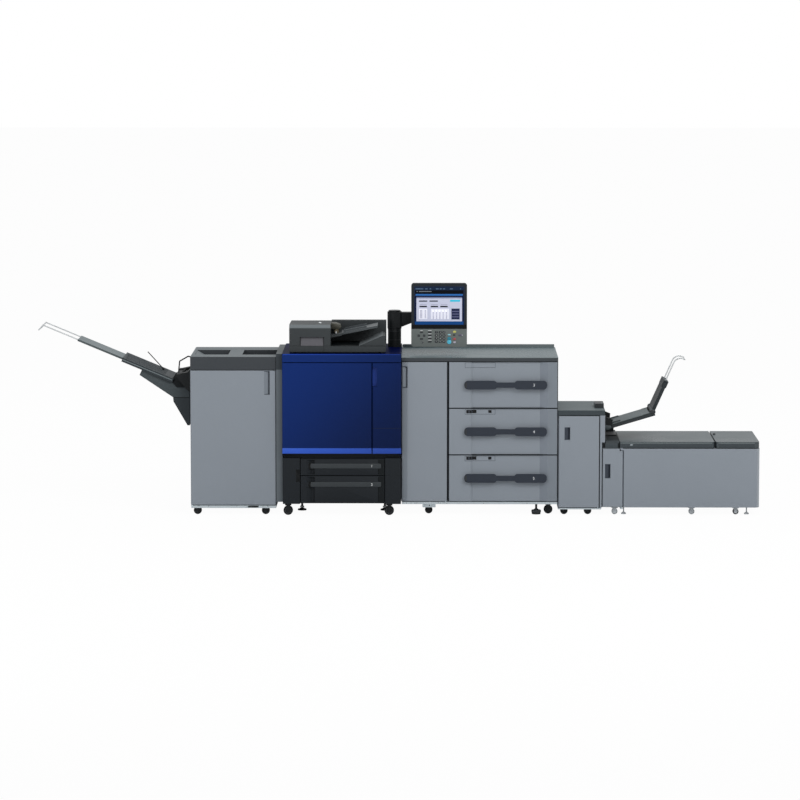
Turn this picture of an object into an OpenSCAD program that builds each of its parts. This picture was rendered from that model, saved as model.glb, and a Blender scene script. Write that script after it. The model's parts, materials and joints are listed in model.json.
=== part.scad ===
// Digital production printer: finisher, print engine, paper feeder, bypass cabinet and banner feeder.
// Millimetres, +X to the right along the line, +Y to the back, +Z up, floor at z = 0.
// The model is laid out from the middle of the engine's front face, then moved to its own centre.

/* [Line] */
// How far the other units' fronts stand behind the engine's front
front_set = 50; // [30:1:90]
// Thickness of the cabinet doors and drawer fronts
door_t = 28; // [20:1:40]
// Free gap round each door, drawer and lid
clear = 5; // [5:0.5:8]
// Radius of the rounded upright edges of doors
edge_r = 8; // [6:0.5:10]
// Diameter of the hinge pins
pin_d = 7; // [5:0.5:10]
// Depth of the finger pockets in the doors
grip_depth = 18; // [14:1:19]

/* [Engine] */
// Width of the print engine
engine_w = 760; // [700:1:840]
// Depth of the print engine
engine_depth = 700; // [660:1:740]
// Height of the engine's top
engine_h = 1042; // [1000:1:1080]
// Height of the band over the engine doors
engine_band_h = 53; // [40:1:70]
// Thickness of the engine doors
engine_door_t = 42; // [34:1:48]
// Width of the right engine door
right_door_w = 186; // [150:1:230]
// Height of the upper edge of the bright strip at the foot of the engine doors
strip_top = 437; // [400:1:460]
// Height of that bright strip
strip_h = 35; // [28:1:45]
// Height of the dark recess under the strip
recess_h = 31; // [24:1:40]
// Height of the engine's underside
engine_z = 76; // [66:1:95]
// Width of the column left of the paper trays
tray_left_w = 112; // [90:1:140]
// Width of the column right of the paper trays
tray_right_w = 103; // [90:1:130]
// Height of the front of paper tray 1
tray_1_h = 109; // [95:1:120]
// How far the paper trays slide out
tray_travel = 420; // [350:5:450]
// Depth of the paper tray boxes
tray_box_depth = 520; // [460:5:560]

/* [Document feeder] */
// Left end of the document feeder, from the engine's middle
adf_left = 335; // [320:1:350]
// Right end of the document feeder, from the engine's middle
adf_right = 280; // [260:1:280]
// Depth of the document feeder
adf_depth = 400; // [360:1:420]
// Height of the document feeder
adf_h = 174; // [160:1:190]
// Height of the lid part of the document feeder
adf_lid_h = 39; // [30:1:50]
// Width of its left part, which holds the feed rollers
adf_feed_w = 263; // [240:1:280]
// Slope of the tray on the document feeder
adf_tray_slope = 11.2; // [8:0.1:13]
// Thickness of the tray on the document feeder
adf_tray_t = 14; // [10:1:18]
// How far its front stands behind the engine's front
adf_front = 50; // [30:1:60]
// Opening angle room: distance of its hinge behind its back
adf_hinge_back = 22; // [20:1:30]

/* [Control panel] */
// Diameter of the post
post_d = 92; // [80:1:92]
// Distance of the post behind the engine's front
post_y = 500; // [480:1:560]
// Height of the post's swivel joint
post_top = 1168; // [1140:1:1190]
// Height of the swivel hub
hub_h = 101; // [90:1:115]
// Height of the arm
arm_h = 70; // [56:1:74]
// Width of the control panel
panel_w = 359; // [320:1:380]
// Height of the control panel
panel_h = 411; // [380:1:430]
// Height of the panel's lower edge
panel_z = 1059; // [1057:1:1080]
// Thickness of the control panel
panel_t = 36; // [30:1:44]
// How far the back of the control panel bulges
panel_bulge = 10; // [6:1:10]
// Distance from the engine's middle to the panel's left edge
panel_left = 442; // [430:1:460]
// Height of the grey keypad part
keypad_h = 116; // [100:1:130]

/* [Finisher] */
// Width of the finisher
fin_w = 549; // [480:1:600]
// Depth of the finisher
fin_depth = 646; // [600:1:690]
// Height of the finisher
fin_h = 1018; // [980:1:1036]
// Height of the dark band at its top
fin_band_h = 83; // [70:1:100]
// Height of its underside
fin_z = 44; // [40:1:60]
// Height of the pale plinth
fin_base_h = 16; // [12:1:24]

/* [Stack tray] */
// Slope of the stack tray
tray_slope = 22.6; // [15:0.1:26]
// Length of the main stack tray along its slope
stack_len = 352; // [320:1:380]
// Width of the main stack tray from front to back
stack_w = 360; // [330:1:400]
// Thickness of the main stack tray
stack_t = 26; // [24:1:34]
// Height where the stack tray meets the finisher
stack_z = 862; // [840:1:870]
// How far the stack tray sinks
stack_travel = 350; // [250:5:380]
// How far the tray extension slides in
extension_travel = 195; // [100:5:195]
// Visible length of the tray extension
extension_len = 313; // [240:1:340]
// Width of the tray extension from front to back
extension_w = 250; // [200:1:270]
// How far the wire bail slides in
bail_travel = 180; // [80:5:180]
// Visible length of the wire bail
bail_len = 244; // [180:1:260]
// Width of the wire bail from front to back
bail_w = 190; // [150:1:200]
// Diameter of the wire bail
bail_d = 8; // [6:0.5:9]

/* [Relay column] */
// Width of the relay column
relay_w = 40; // [34:1:60]
// Depth of the relay column
relay_depth = 617; // [560:1:660]
// How far the relay column stays below the engine's top
relay_drop = 4; // [0:1:12]
// Height of its dark top
relay_band_h = 102; // [80:1:120]
// Height of its underside
relay_z = 84; // [76:1:95]

/* [Paper feeder] */
// Width of the paper feeder
pf_w = 1002; // [920:1:1080]
// Depth of the paper feeder
pf_depth = 704; // [660:1:740]
// Height of the underside of the worktop
top_z = 990; // [960:1:1000]
// Thickness of the worktop
top_t = 24; // [20:1:34]
// Height of the lip at the back of the worktop
lip_h = 19; // [12:1:26]
// Width of the left cabinet of the feeder
pf_left_w = 299; // [260:1:340]
// Height of the feeder's underside
pf_z = 71; // [66:1:85]
// Height of the feeder's plinth
pf_base_h = 14; // [10:1:20]
// Height of the two upper drawer fronts
drawer_h = 292; // [270:1:298]
// How far the drawers slide out
drawer_travel = 500; // [400:5:530]
// Depth of the drawer boxes
drawer_box_depth = 560; // [540:5:580]
// Wall of the feeder's body
pf_wall = 20; // [15:1:24]
// Length of the drawer grips
grip_w = 528; // [480:1:560]
// Height of the ends of the drawer grips
grip_h = 55; // [45:1:60]
// Height of the slim middle of the drawer grips
grip_mid_h = 32; // [26:1:38]

/* [Bypass cabinet] */
// Width of the bypass cabinet
byp_w = 301; // [270:1:330]
// Width of the part that reaches over the banner feeder
byp_over = 20; // [16:1:30]
// Depth of the bypass cabinet
byp_depth = 543; // [500:1:580]
// Height of the bypass cabinet
byp_h = 676; // [650:1:700]
// Height of the dark band at its top
byp_band_h = 32; // [26:1:40]
// Height of its underside
byp_z = 38; // [34:1:44]
// Width of its door
byp_door_w = 260; // [235:1:264]

/* [Bypass tray] */
// Slope of the bypass tray
byp_slope = 16.6; // [12:0.1:20]
// Length of its lower section
byp_len = 298; // [260:1:310]
// Width of the tray from front to back
byp_tray_w = 330; // [300:1:360]
// Thickness of its lower section
byp_t = 25; // [22:1:30]
// Height of its hinge
byp_hinge_z = 552; // [546:1:566]
// Slope of the raised upper section
upper_slope = 66; // [55:1:72]
// Length of its upper section
upper_len = 200; // [150:1:210]
// Thickness of its upper section
upper_t = 22; // [20:1:26]
// Straight length of the wire guide
guide_len = 125; // [110:1:150]
// Radius of the wire guide's top bend
guide_r = 48; // [40:1:55]
// Angle of the wire guide's top bend
guide_bend = 100; // [90:1:120]
// Diameter of the wire guide
guide_d = 8; // [6:0.5:9]
// Width of the wire guide from front to back
guide_w = 150; // [120:1:180]

/* [Banner feeder] */
// Width of the banner feeder
ban_w = 1010; // [940:1:1100]
// Depth of the banner feeder
ban_depth = 588; // [550:1:620]
// Height of the lids' lower edge
lid_z = 435; // [410:1:450]
// Thickness of the lids
lid_t = 39; // [34:1:44]
// Height of its underside
ban_z = 40; // [36:1:46]
// Width of the transport section at its left
ban_left_w = 116; // [106:1:130]
// Width of the left lid
lid_left_w = 605; // [540:1:640]
// Gap between the two lids
lid_gap = 8; // [6:1:30]
// Radius of the lids' front corners at that gap
lid_corner = 22; // [10:1:28]
// Wall of the banner feeder's body
ban_wall = 22; // [18:1:26]

/* [Hidden] */
$fn = 48;
fit = 0.3;
pin_r = pin_d / 2;
pin_in = 12;

// The line from left to right
eng_l = -engine_w / 2;
eng_r = engine_w / 2;
relay_l = eng_l - relay_w;
fin_r = relay_l;
fin_l = fin_r - fin_w;
pf_l = eng_r;
pf_r = pf_l + pf_w;
byp_l = pf_r;
byp_r = byp_l + byp_w;
ban_l = byp_r - byp_over;
ban_r = ban_l + ban_w;
body_y = front_set + door_t + clear;
pf_back = front_set + pf_depth;

// Stack tray: a straight slope from the finisher's left side
tray_x = fin_l - 116;
slope_c = cos(tray_slope);
slope_s = sin(tray_slope);
bail_r = bail_d / 2;
bail_bend = 41;
bail_turn = 160;
stack_y = front_set + (fin_depth - stack_w) / 2;
ext_t = 12;
ext_in = 90;
bail_in = 50;
tray_end = stack_len + extension_len + bail_len;

// The part's own centre
bail_tip = [tray_end + bail_bend * sin(bail_turn), bail_bend * cos(bail_turn) - stack_t / 2];
tip_x = tray_x - bail_tip[0] * slope_c + bail_tip[1] * slope_s - bail_r - 0.4;
mid_x = (ban_r + tip_x) / 2;
mid_y = pf_back / 2;

module place() {
    translate([-mid_x, -mid_y, 0]) children();
}

// A block between two corners
module block(x0, x1, y0, y1, z0, z1) {
    translate([x0, y0, z0]) cube([x1 - x0, y1 - y0, z1 - z0]);
}

// Rounded rectangle from true arcs, from its lower left corner
module round_rect(w, d, r) {
    translate([r, 0]) square([w - 2 * r, d]);
    translate([0, r]) square([w, d - 2 * r]);
    for (x = [r, w - r], y = [r, d - r]) translate([x, y]) circle(r = r);
}

// Upright leaf with rounded upright edges
module leaf(x0, x1, y0, t, z0, z1, r = edge_r) {
    translate([x0, y0, z0]) linear_extrude(z1 - z0) round_rect(x1 - x0, t, r);
}

// Upright and level hinge pins and their bores
module pin_z(x, y, z0, z1, r = pin_r) {
    translate([x, y, z0]) cylinder(r = r, h = z1 - z0);
}

module pin_x(x0, x1, y, z, r = pin_r) {
    translate([x0, y, z]) rotate([0, 90, 0]) cylinder(r = r, h = x1 - x0);
}

// A door: leaf, bores for its two pins at the hinge side
module door(x0, x1, y0, t, z0, z1, hinge_x) {
    difference() {
        leaf(x0, x1, y0, t, z0, z1);
        pin_z(hinge_x, y0 + edge_r, z0 - 1, z0 + pin_in + fit, pin_r + fit);
        pin_z(hinge_x, y0 + edge_r, z1 - pin_in - fit, z1 + 1, pin_r + fit);
    }
}

// Finger pocket in a front face
module pocket(x, w, z0, z1, y0, depth) {
    block(x, x + w, y0 - 1, y0 + depth, z0, z1);
}

wheel_w = 22;

// Swivel caster: plate, fork and wheel, from the floor to height top
module caster(x, y, top, d) {
    cheek = 3;
    fork_w = wheel_w + 8;
    plate_z = max(d + 3, top - 14);
    translate([x, y, 0]) {
        translate([0, wheel_w / 2, d / 2]) rotate([90, 0, 0]) cylinder(d = d, h = wheel_w);
        translate([0, fork_w / 2 + cheek, d / 2]) rotate([90, 0, 0])
            cylinder(d = 10, h = fork_w + 2 * cheek);
        for (s = [-1, 1]) translate([0, s * (fork_w + cheek) / 2, 0]) {
            translate([0, cheek / 2, d / 2]) rotate([90, 0, 0]) cylinder(d = 24, h = cheek);
            translate([-12, -cheek / 2, d / 2]) cube([24, cheek, plate_z + 1 - d / 2]);
        }
        translate([-20, -fork_w / 2 - cheek, plate_z]) cube([40, fork_w + 2 * cheek, top - plate_z]);
    }
}

// Room for a caster above the underside of a unit
module well(x, y, z0, z1, d) {
    block(x - d / 2 - 6, x + d / 2 + 6, y - wheel_w, y + wheel_w, z0 - 1, z1);
}

// Levelling foot: pad, lock nut and stem
module foot(x, y, top, pad = 56) {
    translate([x, y, 0]) {
        cylinder(d = pad, h = 8);
        cylinder(d = pad * 0.54, h = 14);
        cylinder(d = pad / 4, h = top);
    }
}

// ---------------- Finisher ----------------
fin_back = front_set + fin_depth;
fin_band_z = fin_h - fin_band_h;
fin_door_z = fin_z + fin_base_h + clear;
fin_hinge_x = fin_l + edge_r;
fin_grip_h = 152;
rail_w = 14;
rail_h = 10;
rail_y = [stack_y + 50, stack_y + stack_w - 50];
exit_w = 99;
exit_step = 25;
exit_z0 = stack_z - 74;
exit_top = fin_band_z - 42;
exit_gap = 6;
fin_wheel = 51;
fin_wheel_x = [fin_l + 42, fin_r - 70];
fin_wheel_y = [front_set + 42, fin_back - 70];
carriage_h = 304;

module finisher_housing() color("#878e95") place() {
    difference() {
        block(fin_l, fin_r, body_y, fin_back, fin_z + fin_base_h, fin_band_z);
        block(fin_l + 40, fin_r - 40, body_y - 1, body_y + 24, fin_z + fin_base_h + 40,
            fin_band_z - 40);
    }
    // guide rails for the stack tray's carriage
    for (y = rail_y) block(fin_l - rail_h, fin_l, y - rail_w / 2, y + rail_w / 2,
        stack_z - carriage_h - stack_travel - 28, exit_z0 - clear);
}

module finisher_top() color("#6f7678") place() {
    rim = 22;
    pocket_w = 215;
    pocket_y0 = front_set + 150;
    pocket_y1 = front_set + 450;
    difference() {
        union() {
            leaf(fin_l, fin_r, front_set, fin_depth, fin_band_z, fin_h, 6);
            pin_z(fin_hinge_x, front_set + edge_r, fin_band_z - clear - pin_in, fin_band_z + 4);
        }
        block(fin_l + rim, fin_l + rim + pocket_w, pocket_y0, pocket_y1, fin_h - 45, fin_h + 1);
        block(fin_r - 8 - pocket_w, fin_r - 8, pocket_y0, pocket_y1, fin_h - 45, fin_h + 1);
    }
}

module finisher_base() color("#b8c8d0") place() {
    difference() {
        block(fin_l + 2, fin_r - 2, front_set, fin_back - 20, fin_z, fin_z + fin_base_h);
        block(fin_l + 358, fin_l + 428, front_set - 1, front_set + 12, fin_z + 3, fin_z + 11);
        for (x = fin_wheel_x, y = fin_wheel_y) well(x, y, fin_z, fin_z + fin_base_h + 1, fin_wheel);
    }
    pin_z(fin_hinge_x, front_set + edge_r, fin_z + fin_base_h - 1, fin_door_z + pin_in);
}

module finisher_casters() color("#26282a") place() {
    for (x = fin_wheel_x, y = fin_wheel_y) caster(x, y, fin_z + fin_base_h, fin_wheel);
}

// Body round the paper exit on the finisher's left side
module exit_frame() color("#202325") place() {
    y0 = stack_y - 20;
    y1 = stack_y + stack_w + 20;
    difference() {
        translate([fin_l, y1, 0]) rotate([90, 0, 0]) linear_extrude(y1 - y0)
            polygon([[0, exit_z0], [-exit_step, exit_z0], [-exit_w, exit_top - 13],
                [-exit_w, exit_top], [-exit_w + 12, exit_top], [-exit_step, exit_top + 13],
                [0, fin_band_z - clear]]);
        block(fin_l - exit_w - 1, fin_l - exit_step, y0 + 70, y1 - 70, exit_top - 6, exit_top + 20);
    }
}

// Bent guard bar over the middle of the paper exit
module exit_guard() color("#3a3d3f") place() {
    bar_w = 8;
    seat = 0.6;
    path = [[4 - exit_w, exit_top - 6 + seat], [-88, exit_top + 64], [-33, exit_top + 96],
        [-fit - seat, exit_top + 90]];
    translate([fin_l, stack_y + (stack_w + bar_w) / 2, 0]) rotate([90, 0, 0])
        linear_extrude(bar_w) bent_strip(path, bar_w / 2);
}

function unit(v) = v / norm(v);

// Way along the path before and after its point i, and the offset of one unit to its side there
function way(p, i) = unit(p[i + 1] - p[i]);
function side(p, i) = let (a = way(p, max(i - 1, 0)), b = way(p, min(i, len(p) - 2)),
    n = unit([-a[1] - b[1], a[0] + b[0]])) n / (n * [-a[1], a[0]]);

// Strip of even width along a path of points
module bent_strip(p, half) {
    polygon(concat([for (i = [0:len(p) - 1]) p[i] + half * side(p, i)],
        [for (i = [len(p) - 1:-1:0]) p[i] - half * side(p, i)]));
}

module finisher_door() color("#878e95") place() {
    door_r = fin_r - clear / 2;
    difference() {
        door(fin_l, door_r, front_set, door_t, fin_door_z, fin_band_z - clear, fin_hinge_x);
        pocket(door_r - 74, 36, fin_band_z - 8 - fin_grip_h, fin_band_z - 8, front_set, grip_depth);
    }
}

// ---------------- Stack tray ----------------
// Places its children on the slope: x runs up the slope to the left, z square to it
module on_slope() {
    translate([tray_x, 0, stack_z]) mirror([1, 0, 0]) rotate([0, -tray_slope, 0]) children();
}

module stack_tray() color("#34393d") place() {
    back_x = fin_l - rail_h - clear;
    bx = back_x - 14;
    // the carriage's upper face follows the exit frame's lower face
    low = [fin_l - exit_step, exit_z0 - stack_z];
    high = [fin_l - exit_w, exit_top - 13 - stack_z];
    run = (high - low) / norm(high - low);
    shift = exit_gap * [-run[1], run[0]];
    y0 = stack_y + 20;
    y1 = stack_y + stack_w - 20;
    difference() {
        union() {
            on_slope() block(0, stack_len, stack_y, stack_y + stack_w, -stack_t, 0);
            // carriage, support wedge and lower cover
            translate([0, y1, stack_z]) rotate([90, 0, 0]) linear_extrude(y1 - y0)
                polygon([[back_x, low[1] + shift[1] - 2], low + shift, high + shift,
                    [tray_x - 9, 8 * tan(tray_slope)],
                    [tray_x - 18, -16], [tray_x - 202, 62], [tray_x - 220, 22],
                    [tray_x - 5, -122], [tray_x - 3, -149], [bx, -carriage_h],
                    [back_x, -carriage_h]]);
            for (y = rail_y) block(back_x - 2, fin_l - fit, y - rail_w / 2 - 12,
                y + rail_w / 2 + 12, stack_z - carriage_h + 14, stack_z - 90);
        }
        for (y = rail_y) block(fin_l - rail_h - fit, fin_l + 1, y - rail_w / 2 - fit,
            y + rail_w / 2 + fit, stack_z - carriage_h - 6, stack_z);
        on_slope() block(stack_len - ext_in - extension_travel - clear, stack_len + 1, stack_y + (stack_w - extension_w) / 2 - fit,
            stack_y + (stack_w + extension_w) / 2 + fit, -stack_t / 2 - ext_t / 2 - fit,
            -stack_t / 2 + ext_t / 2 + fit);
    }
}

module tray_extension() color("#7c8889") place() on_slope() {
    y0 = stack_y + (stack_w - extension_w) / 2;
    zm = -stack_t / 2;
    bail_y = [stack_y + stack_w / 2 - bail_w / 2, stack_y + stack_w / 2 + bail_w / 2];
    difference() {
        block(stack_len - ext_in, stack_len + extension_len, y0, y0 + extension_w, zm - ext_t / 2,
            zm + ext_t / 2);
        for (y = bail_y) translate([stack_len + extension_len - bail_in - bail_travel - clear, y, zm])
            rotate([0, 90, 0]) cylinder(r = bail_r + fit, h = bail_in + bail_travel + 2 * clear);
    }
}

module tray_bail() color("#c3c8ca") place() on_slope() {
    zm = -stack_t / 2;
    ym = stack_y + stack_w / 2;
    x0 = stack_len + extension_len - bail_in;
    for (s = [-1, 1]) translate([0, ym + s * bail_w / 2, 0]) {
        translate([x0, 0, zm]) rotate([0, 90, 0]) cylinder(r = bail_r, h = tray_end - x0);
        translate([tray_end, 0, zm]) sphere(r = bail_r + 0.4);
        translate([tray_end, 0, zm]) rotate([0, bail_turn, 0]) cylinder(r = bail_r, h = bail_bend);
        translate([bail_tip[0], 0, bail_tip[1]]) sphere(r = bail_r + 0.4);
    }
    translate([bail_tip[0], ym + bail_w / 2, bail_tip[1]]) rotate([90, 0, 0])
        cylinder(r = bail_r, h = bail_w);
}

// Thin lever that the stacked paper lifts
module paper_lever() color("#202325") place() on_slope() {
    lever_x = 90;
    lever_y = stack_y + 230;
    block(lever_x - 8, lever_x + 8, lever_y - 8, lever_y + 8, 0, 12);
    translate([lever_x, lever_y, 7]) rotate([0, 65, 0]) cylinder(d = 6, h = 150);
}

// ---------------- Relay column ----------------
relay_h = engine_h - relay_drop;
relay_band_z = relay_h - relay_band_h;

module relay_column() color("#878e95") place() {
    split_z = 591;
    difference() {
        block(relay_l, eng_l, front_set, front_set + relay_depth, relay_z, relay_band_z);
        block(relay_l - 1, eng_l + 1, front_set - 1, front_set + 2, split_z - 1, split_z + 2);
    }
}

module relay_top() color("#34383b") place() {
    block(relay_l, eng_l, front_set, front_set + relay_depth, relay_band_z, relay_h);
}

// ---------------- Print engine ----------------
engine_body_y = engine_door_t + clear;
band_z = engine_h - engine_band_h;
strip_z = strip_top - strip_h;
lower_top = strip_z - recess_h;
engine_door_z0 = strip_z;
engine_door_z1 = band_z - clear;
split_x = eng_r - right_door_w;
left_hinge_x = eng_l + edge_r;
right_hinge_x = eng_r - edge_r;
lower_front = 12;
recess_y = lower_front + 40;
tray_l = eng_l + tray_left_w + clear;
tray_r = eng_r - tray_right_w - clear;
tray_1_z = lower_top - tray_1_h;
tray_2_z = engine_z + clear;
tray_2_top = tray_1_z - clear;
tray_wall = 4;
tray_2_lift = 24;
runner = 8;

module engine_housing() color("#14245a") place() {
    difference() {
        block(eng_l, eng_r, engine_body_y, engine_depth, strip_top, band_z);
        block(eng_l + 40, split_x - 30, engine_body_y - 1, engine_body_y + 24, strip_top + 40,
            band_z - 40);
        block(split_x + 30, eng_r - 30, engine_body_y - 1, engine_body_y + 24, strip_top + 40,
            band_z - 40);
    }
}

module engine_top() color("#14245a") place() {
    leaf(eng_l, eng_r, 0, engine_depth, band_z, engine_h, edge_r);
    for (x = [left_hinge_x, right_hinge_x])
        pin_z(x, edge_r, engine_door_z1 - pin_in, band_z + 1);
    // hinge brackets of the document feeder
    for (x = adf_bracket_x) {
        pin_x(x - bracket_w / 2, x + bracket_w / 2, adf_axis_y, adf_axis_z, 10);
        block(x - bracket_w / 2, x + bracket_w / 2, adf_axis_y - 10, adf_axis_y + 10, engine_h - 1,
            adf_axis_z);
        pin_x(x - bracket_w / 2 - 16, x + bracket_w / 2 + 16, adf_axis_y, adf_axis_z);
    }
}

// Sill behind the foot of the doors, with the lugs and lower pins of their hinges
module engine_sill() color("#14245a") place() {
    lug_z = strip_z - clear;
    block(eng_l, eng_r, engine_body_y, engine_depth, strip_z, strip_top);
    for (x = [left_hinge_x, right_hinge_x]) {
        block(x - edge_r, x + edge_r, 1, recess_y, lug_z - 8, lug_z);
        block(x - edge_r, x + edge_r, engine_body_y, recess_y, lug_z - 1, strip_z + 1);
        pin_z(x, edge_r, lug_z - 1, engine_door_z0 + pin_in);
    }
}

// Black lower body: side columns, recess above and the open bay of the two paper trays
module engine_lower_body() color("#2a2c30") place() {
    bay_l = tray_l - clear;
    bay_r = tray_r + clear;
    bay_back = lower_front + tray_box_depth + 60;
    difference() {
        union() {
            leaf(eng_l + 2, eng_r - 2, lower_front, engine_depth - lower_front, engine_z, lower_top, 6);
            block(eng_l + 8, eng_r - 8, recess_y, engine_depth - 4, lower_top - 1, strip_z);
        }
        block(bay_l, bay_r, lower_front - 1, bay_back, engine_z + runner, lower_top - runner);
        block(bay_l, bay_r, lower_front - 1, lower_front + 28 + clear, engine_z - 1, lower_top + 1);
    }
    // runners that carry the trays
    for (z = [tray_1_z, tray_2_z + tray_2_lift], x = [bay_l - 1, bay_r - 24])
        block(x, x + 25, lower_front + 28 + clear, bay_back, z, z + runner);
}

engine_foot_x = [eng_l + 117, eng_r - 108];
engine_foot_y = [277, engine_depth - 46];

module engine_casters() color("#26282a") place() {
    for (x = [eng_l + 35, eng_r - 77], y = [60, engine_depth - 70]) caster(x, y, engine_z, 60);
    for (x = engine_foot_x, y = engine_foot_y) foot(x, y, engine_z);
}

module engine_left_door() color("#14245a") place()
    door(eng_l, split_x - clear / 2, 0, engine_door_t, engine_door_z0, engine_door_z1, left_hinge_x);

module engine_right_door() color("#14245a") place() {
    x0 = split_x + clear / 2;
    difference() {
        door(x0, eng_r, 0, engine_door_t, engine_door_z0, engine_door_z1, right_hinge_x);
        pocket(x0 - 1, 30, strip_top + 398, strip_top + 518, 0, 26);
    }
}

// Paper tray: dished front with a bar grip, and an open box behind it
module paper_tray(z0, z1, grip_z, box_z, box_h) {
    front_t = 28;
    box_l = tray_l + 10;
    box_r = tray_r - 10;
    box_y = lower_front + front_t;
    dish_l = tray_l + 36;
    dish_r = tray_r - 18;
    slope = 34;
    dish = 18;
    difference() {
        block(tray_l, tray_r, lower_front, box_y, z0, z1);
        translate([0, 0, z0 + 6]) linear_extrude(z1 - z0 - 12)
            polygon([[dish_l, lower_front - 1], [dish_l, lower_front],
                [dish_l + slope, lower_front + dish], [dish_r - slope, lower_front + dish],
                [dish_r, lower_front], [dish_r, lower_front - 1]]);
    }
    // bar grip across the dish
    block(dish_l - 1, dish_r + 1, lower_front, lower_front + 7, grip_z, grip_z + 34);
    difference() {
        block(box_l, box_r, box_y - 1, box_y + tray_box_depth, box_z, box_z + box_h);
        block(box_l + tray_wall, box_r - tray_wall, box_y + tray_wall, box_y + tray_box_depth
            - tray_wall, box_z + tray_wall, box_z + box_h + 1);
    }
}

module paper_tray_1() color("#2a2c30") place()
    paper_tray(tray_1_z, lower_top - clear, tray_1_z + 42, tray_1_z + runner + fit, 78);

module paper_tray_2() color("#2a2c30") place()
    paper_tray(tray_2_z, tray_2_top, tray_2_top - 72, tray_2_z + tray_2_lift + runner + fit, 120);

// ---------------- Scanner and document feeder ----------------
adf_z = engine_h + clear + 3;
adf_top = adf_z + adf_h;
adf_back = adf_front + adf_depth;
adf_axis_y = adf_back + adf_hinge_back;
adf_axis_z = adf_z + 14;
ear_r = 12;
adf_bracket_x = [-adf_left + 60, adf_right - 60];
bracket_w = 26;

module platen_glass() color("#5d6f78") place()
    block(-adf_left + 40, adf_right - 60, adf_front + 40, adf_back - 60, engine_h, engine_h + 3);

feed_r = -adf_left + adf_feed_w;
adf_lid_z = adf_z + adf_lid_h;
adf_wall_y = adf_back - 50;
throat_x = feed_r + 70;

function adf_tray_z(x) = adf_z + 99 + (x - feed_r) * tan(adf_tray_slope);

// Slab along the slope of the document tray, from low to high above it
module adf_slab(x0, x1, y0, y1, low, high) {
    translate([0, y1, 0]) rotate([90, 0, 0]) linear_extrude(y1 - y0)
        polygon([[x0, adf_tray_z(x0) + low], [x1, adf_tray_z(x1) + low],
            [x1, adf_tray_z(x1) + high], [x0, adf_tray_z(x0) + high]]);
}

module document_feeder() color("#3a3f42") place() {
    round_r = 32;
    fall = 8;
    difference() {
        union() {
            block(-adf_left, adf_right, adf_front, adf_back, adf_z, adf_lid_z);
            // feed housing with a rounded front edge and a top that falls to the back
            translate([-adf_left, 0, 0]) rotate([90, 0, 90]) linear_extrude(adf_feed_w) {
                polygon([[adf_front, adf_lid_z - 1], [adf_back, adf_lid_z - 1],
                    [adf_back, adf_top - fall], [adf_front + round_r, adf_top],
                    [adf_front + round_r, adf_top - round_r], [adf_front, adf_top - round_r]]);
                translate([adf_front + round_r, adf_top - round_r]) circle(r = round_r);
            }
            block(feed_r - 1, adf_right, adf_wall_y, adf_back, adf_lid_z - 1, adf_top - 2);
            // slot that the sheets enter by, and the wedge that they come to rest on
            adf_slab(feed_r - 1, throat_x, adf_front + 70, adf_wall_y + 1, -adf_tray_t, 0);
            translate([0, adf_back - 49, 0]) rotate([90, 0, 0]) linear_extrude(adf_depth - 59)
                polygon([[adf_right - 170, adf_lid_z - 1], [adf_right - 170, adf_lid_z],
                    [adf_right - 20, adf_lid_z + 64], [adf_right - 4, adf_lid_z + 64],
                    [adf_right - 4, adf_lid_z - 1]]);
            for (x = adf_bracket_x, s = [-1, 1])
                translate([x + s * (bracket_w / 2 + 2 + 8) - 8, 0, 0]) {
                    translate([0, adf_axis_y, adf_axis_z]) rotate([0, 90, 0])
                        cylinder(r = ear_r, h = 16);
                    translate([0, adf_back - 1, adf_axis_z - ear_r])
                        cube([16, adf_hinge_back + 1, 2 * ear_r]);
                }
        }
        for (x = adf_bracket_x) pin_x(x - bracket_w / 2 - 20, x + bracket_w / 2 + 20, adf_axis_y,
            adf_axis_z, pin_r + fit);
        // finger recess at the front edge
        block(-adf_left + 68, feed_r - 41, adf_front - 1, adf_front + 22, adf_lid_z - 2,
            adf_lid_z + 55);
    }
    // rubber stops that rest on the engine
    for (x = [-adf_left + 20, adf_right - 20]) translate([x, adf_front + 20, engine_h + fit])
        cylinder(d = 16, h = adf_z - engine_h);
}

// Sloping tray for the originals, with its two side guides
module document_tray() color("#777c80") place() {
    y0 = adf_front + 125;
    x1 = adf_right - 53;
    adf_slab(throat_x, x1, y0, adf_wall_y, -adf_tray_t, 0);
    for (y = [y0 + 22, adf_wall_y - 34]) adf_slab(throat_x + 10, x1 - 70, y, y + 12, -1, 11);
}

// ---------------- Control panel ----------------
post_x = eng_r - post_d / 2 - 2;
hub_r = post_d / 2;
panel_front = 300;
knuckle_gap = 44;
knuckle_r = 28;
knuckle_half = 50;
knuckle_x = panel_left + panel_w / 2;
knuckle_y = panel_front + panel_t + knuckle_gap;
arm_z1 = post_top + hub_h - 3;
arm_z0 = arm_z1 - arm_h;
knuckle_z = (arm_z0 + arm_z1) / 2;
ear_t = 14;
screen_t = 2;
screen_x = [panel_left + 24, panel_left + panel_w - 23];
screen_z = [panel_z + keypad_h + 28, panel_z + panel_h - 26];

// Outline of the post's foot and of the hub: round at the left, square with round corners at the right
module hub_shape(corner = 12) {
    circle(r = hub_r, $fn = 64);
    translate([0, -hub_r]) square([hub_r - corner, 2 * hub_r]);
    translate([0, -hub_r + corner]) square([hub_r, 2 * (hub_r - corner)]);
    for (s = [-1, 1]) translate([hub_r - corner, s * (hub_r - corner)]) circle(r = corner);
}

module panel_post() color("#202325") place() translate([post_x, post_y, engine_h]) {
    cylinder(r = hub_r - 3, h = post_top - engine_h, $fn = 64);
    linear_extrude(14) hub_shape();
    translate([0, 0, post_top - engine_h - 8]) cylinder(r = hub_r, h = 8, $fn = 64);
}

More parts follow.
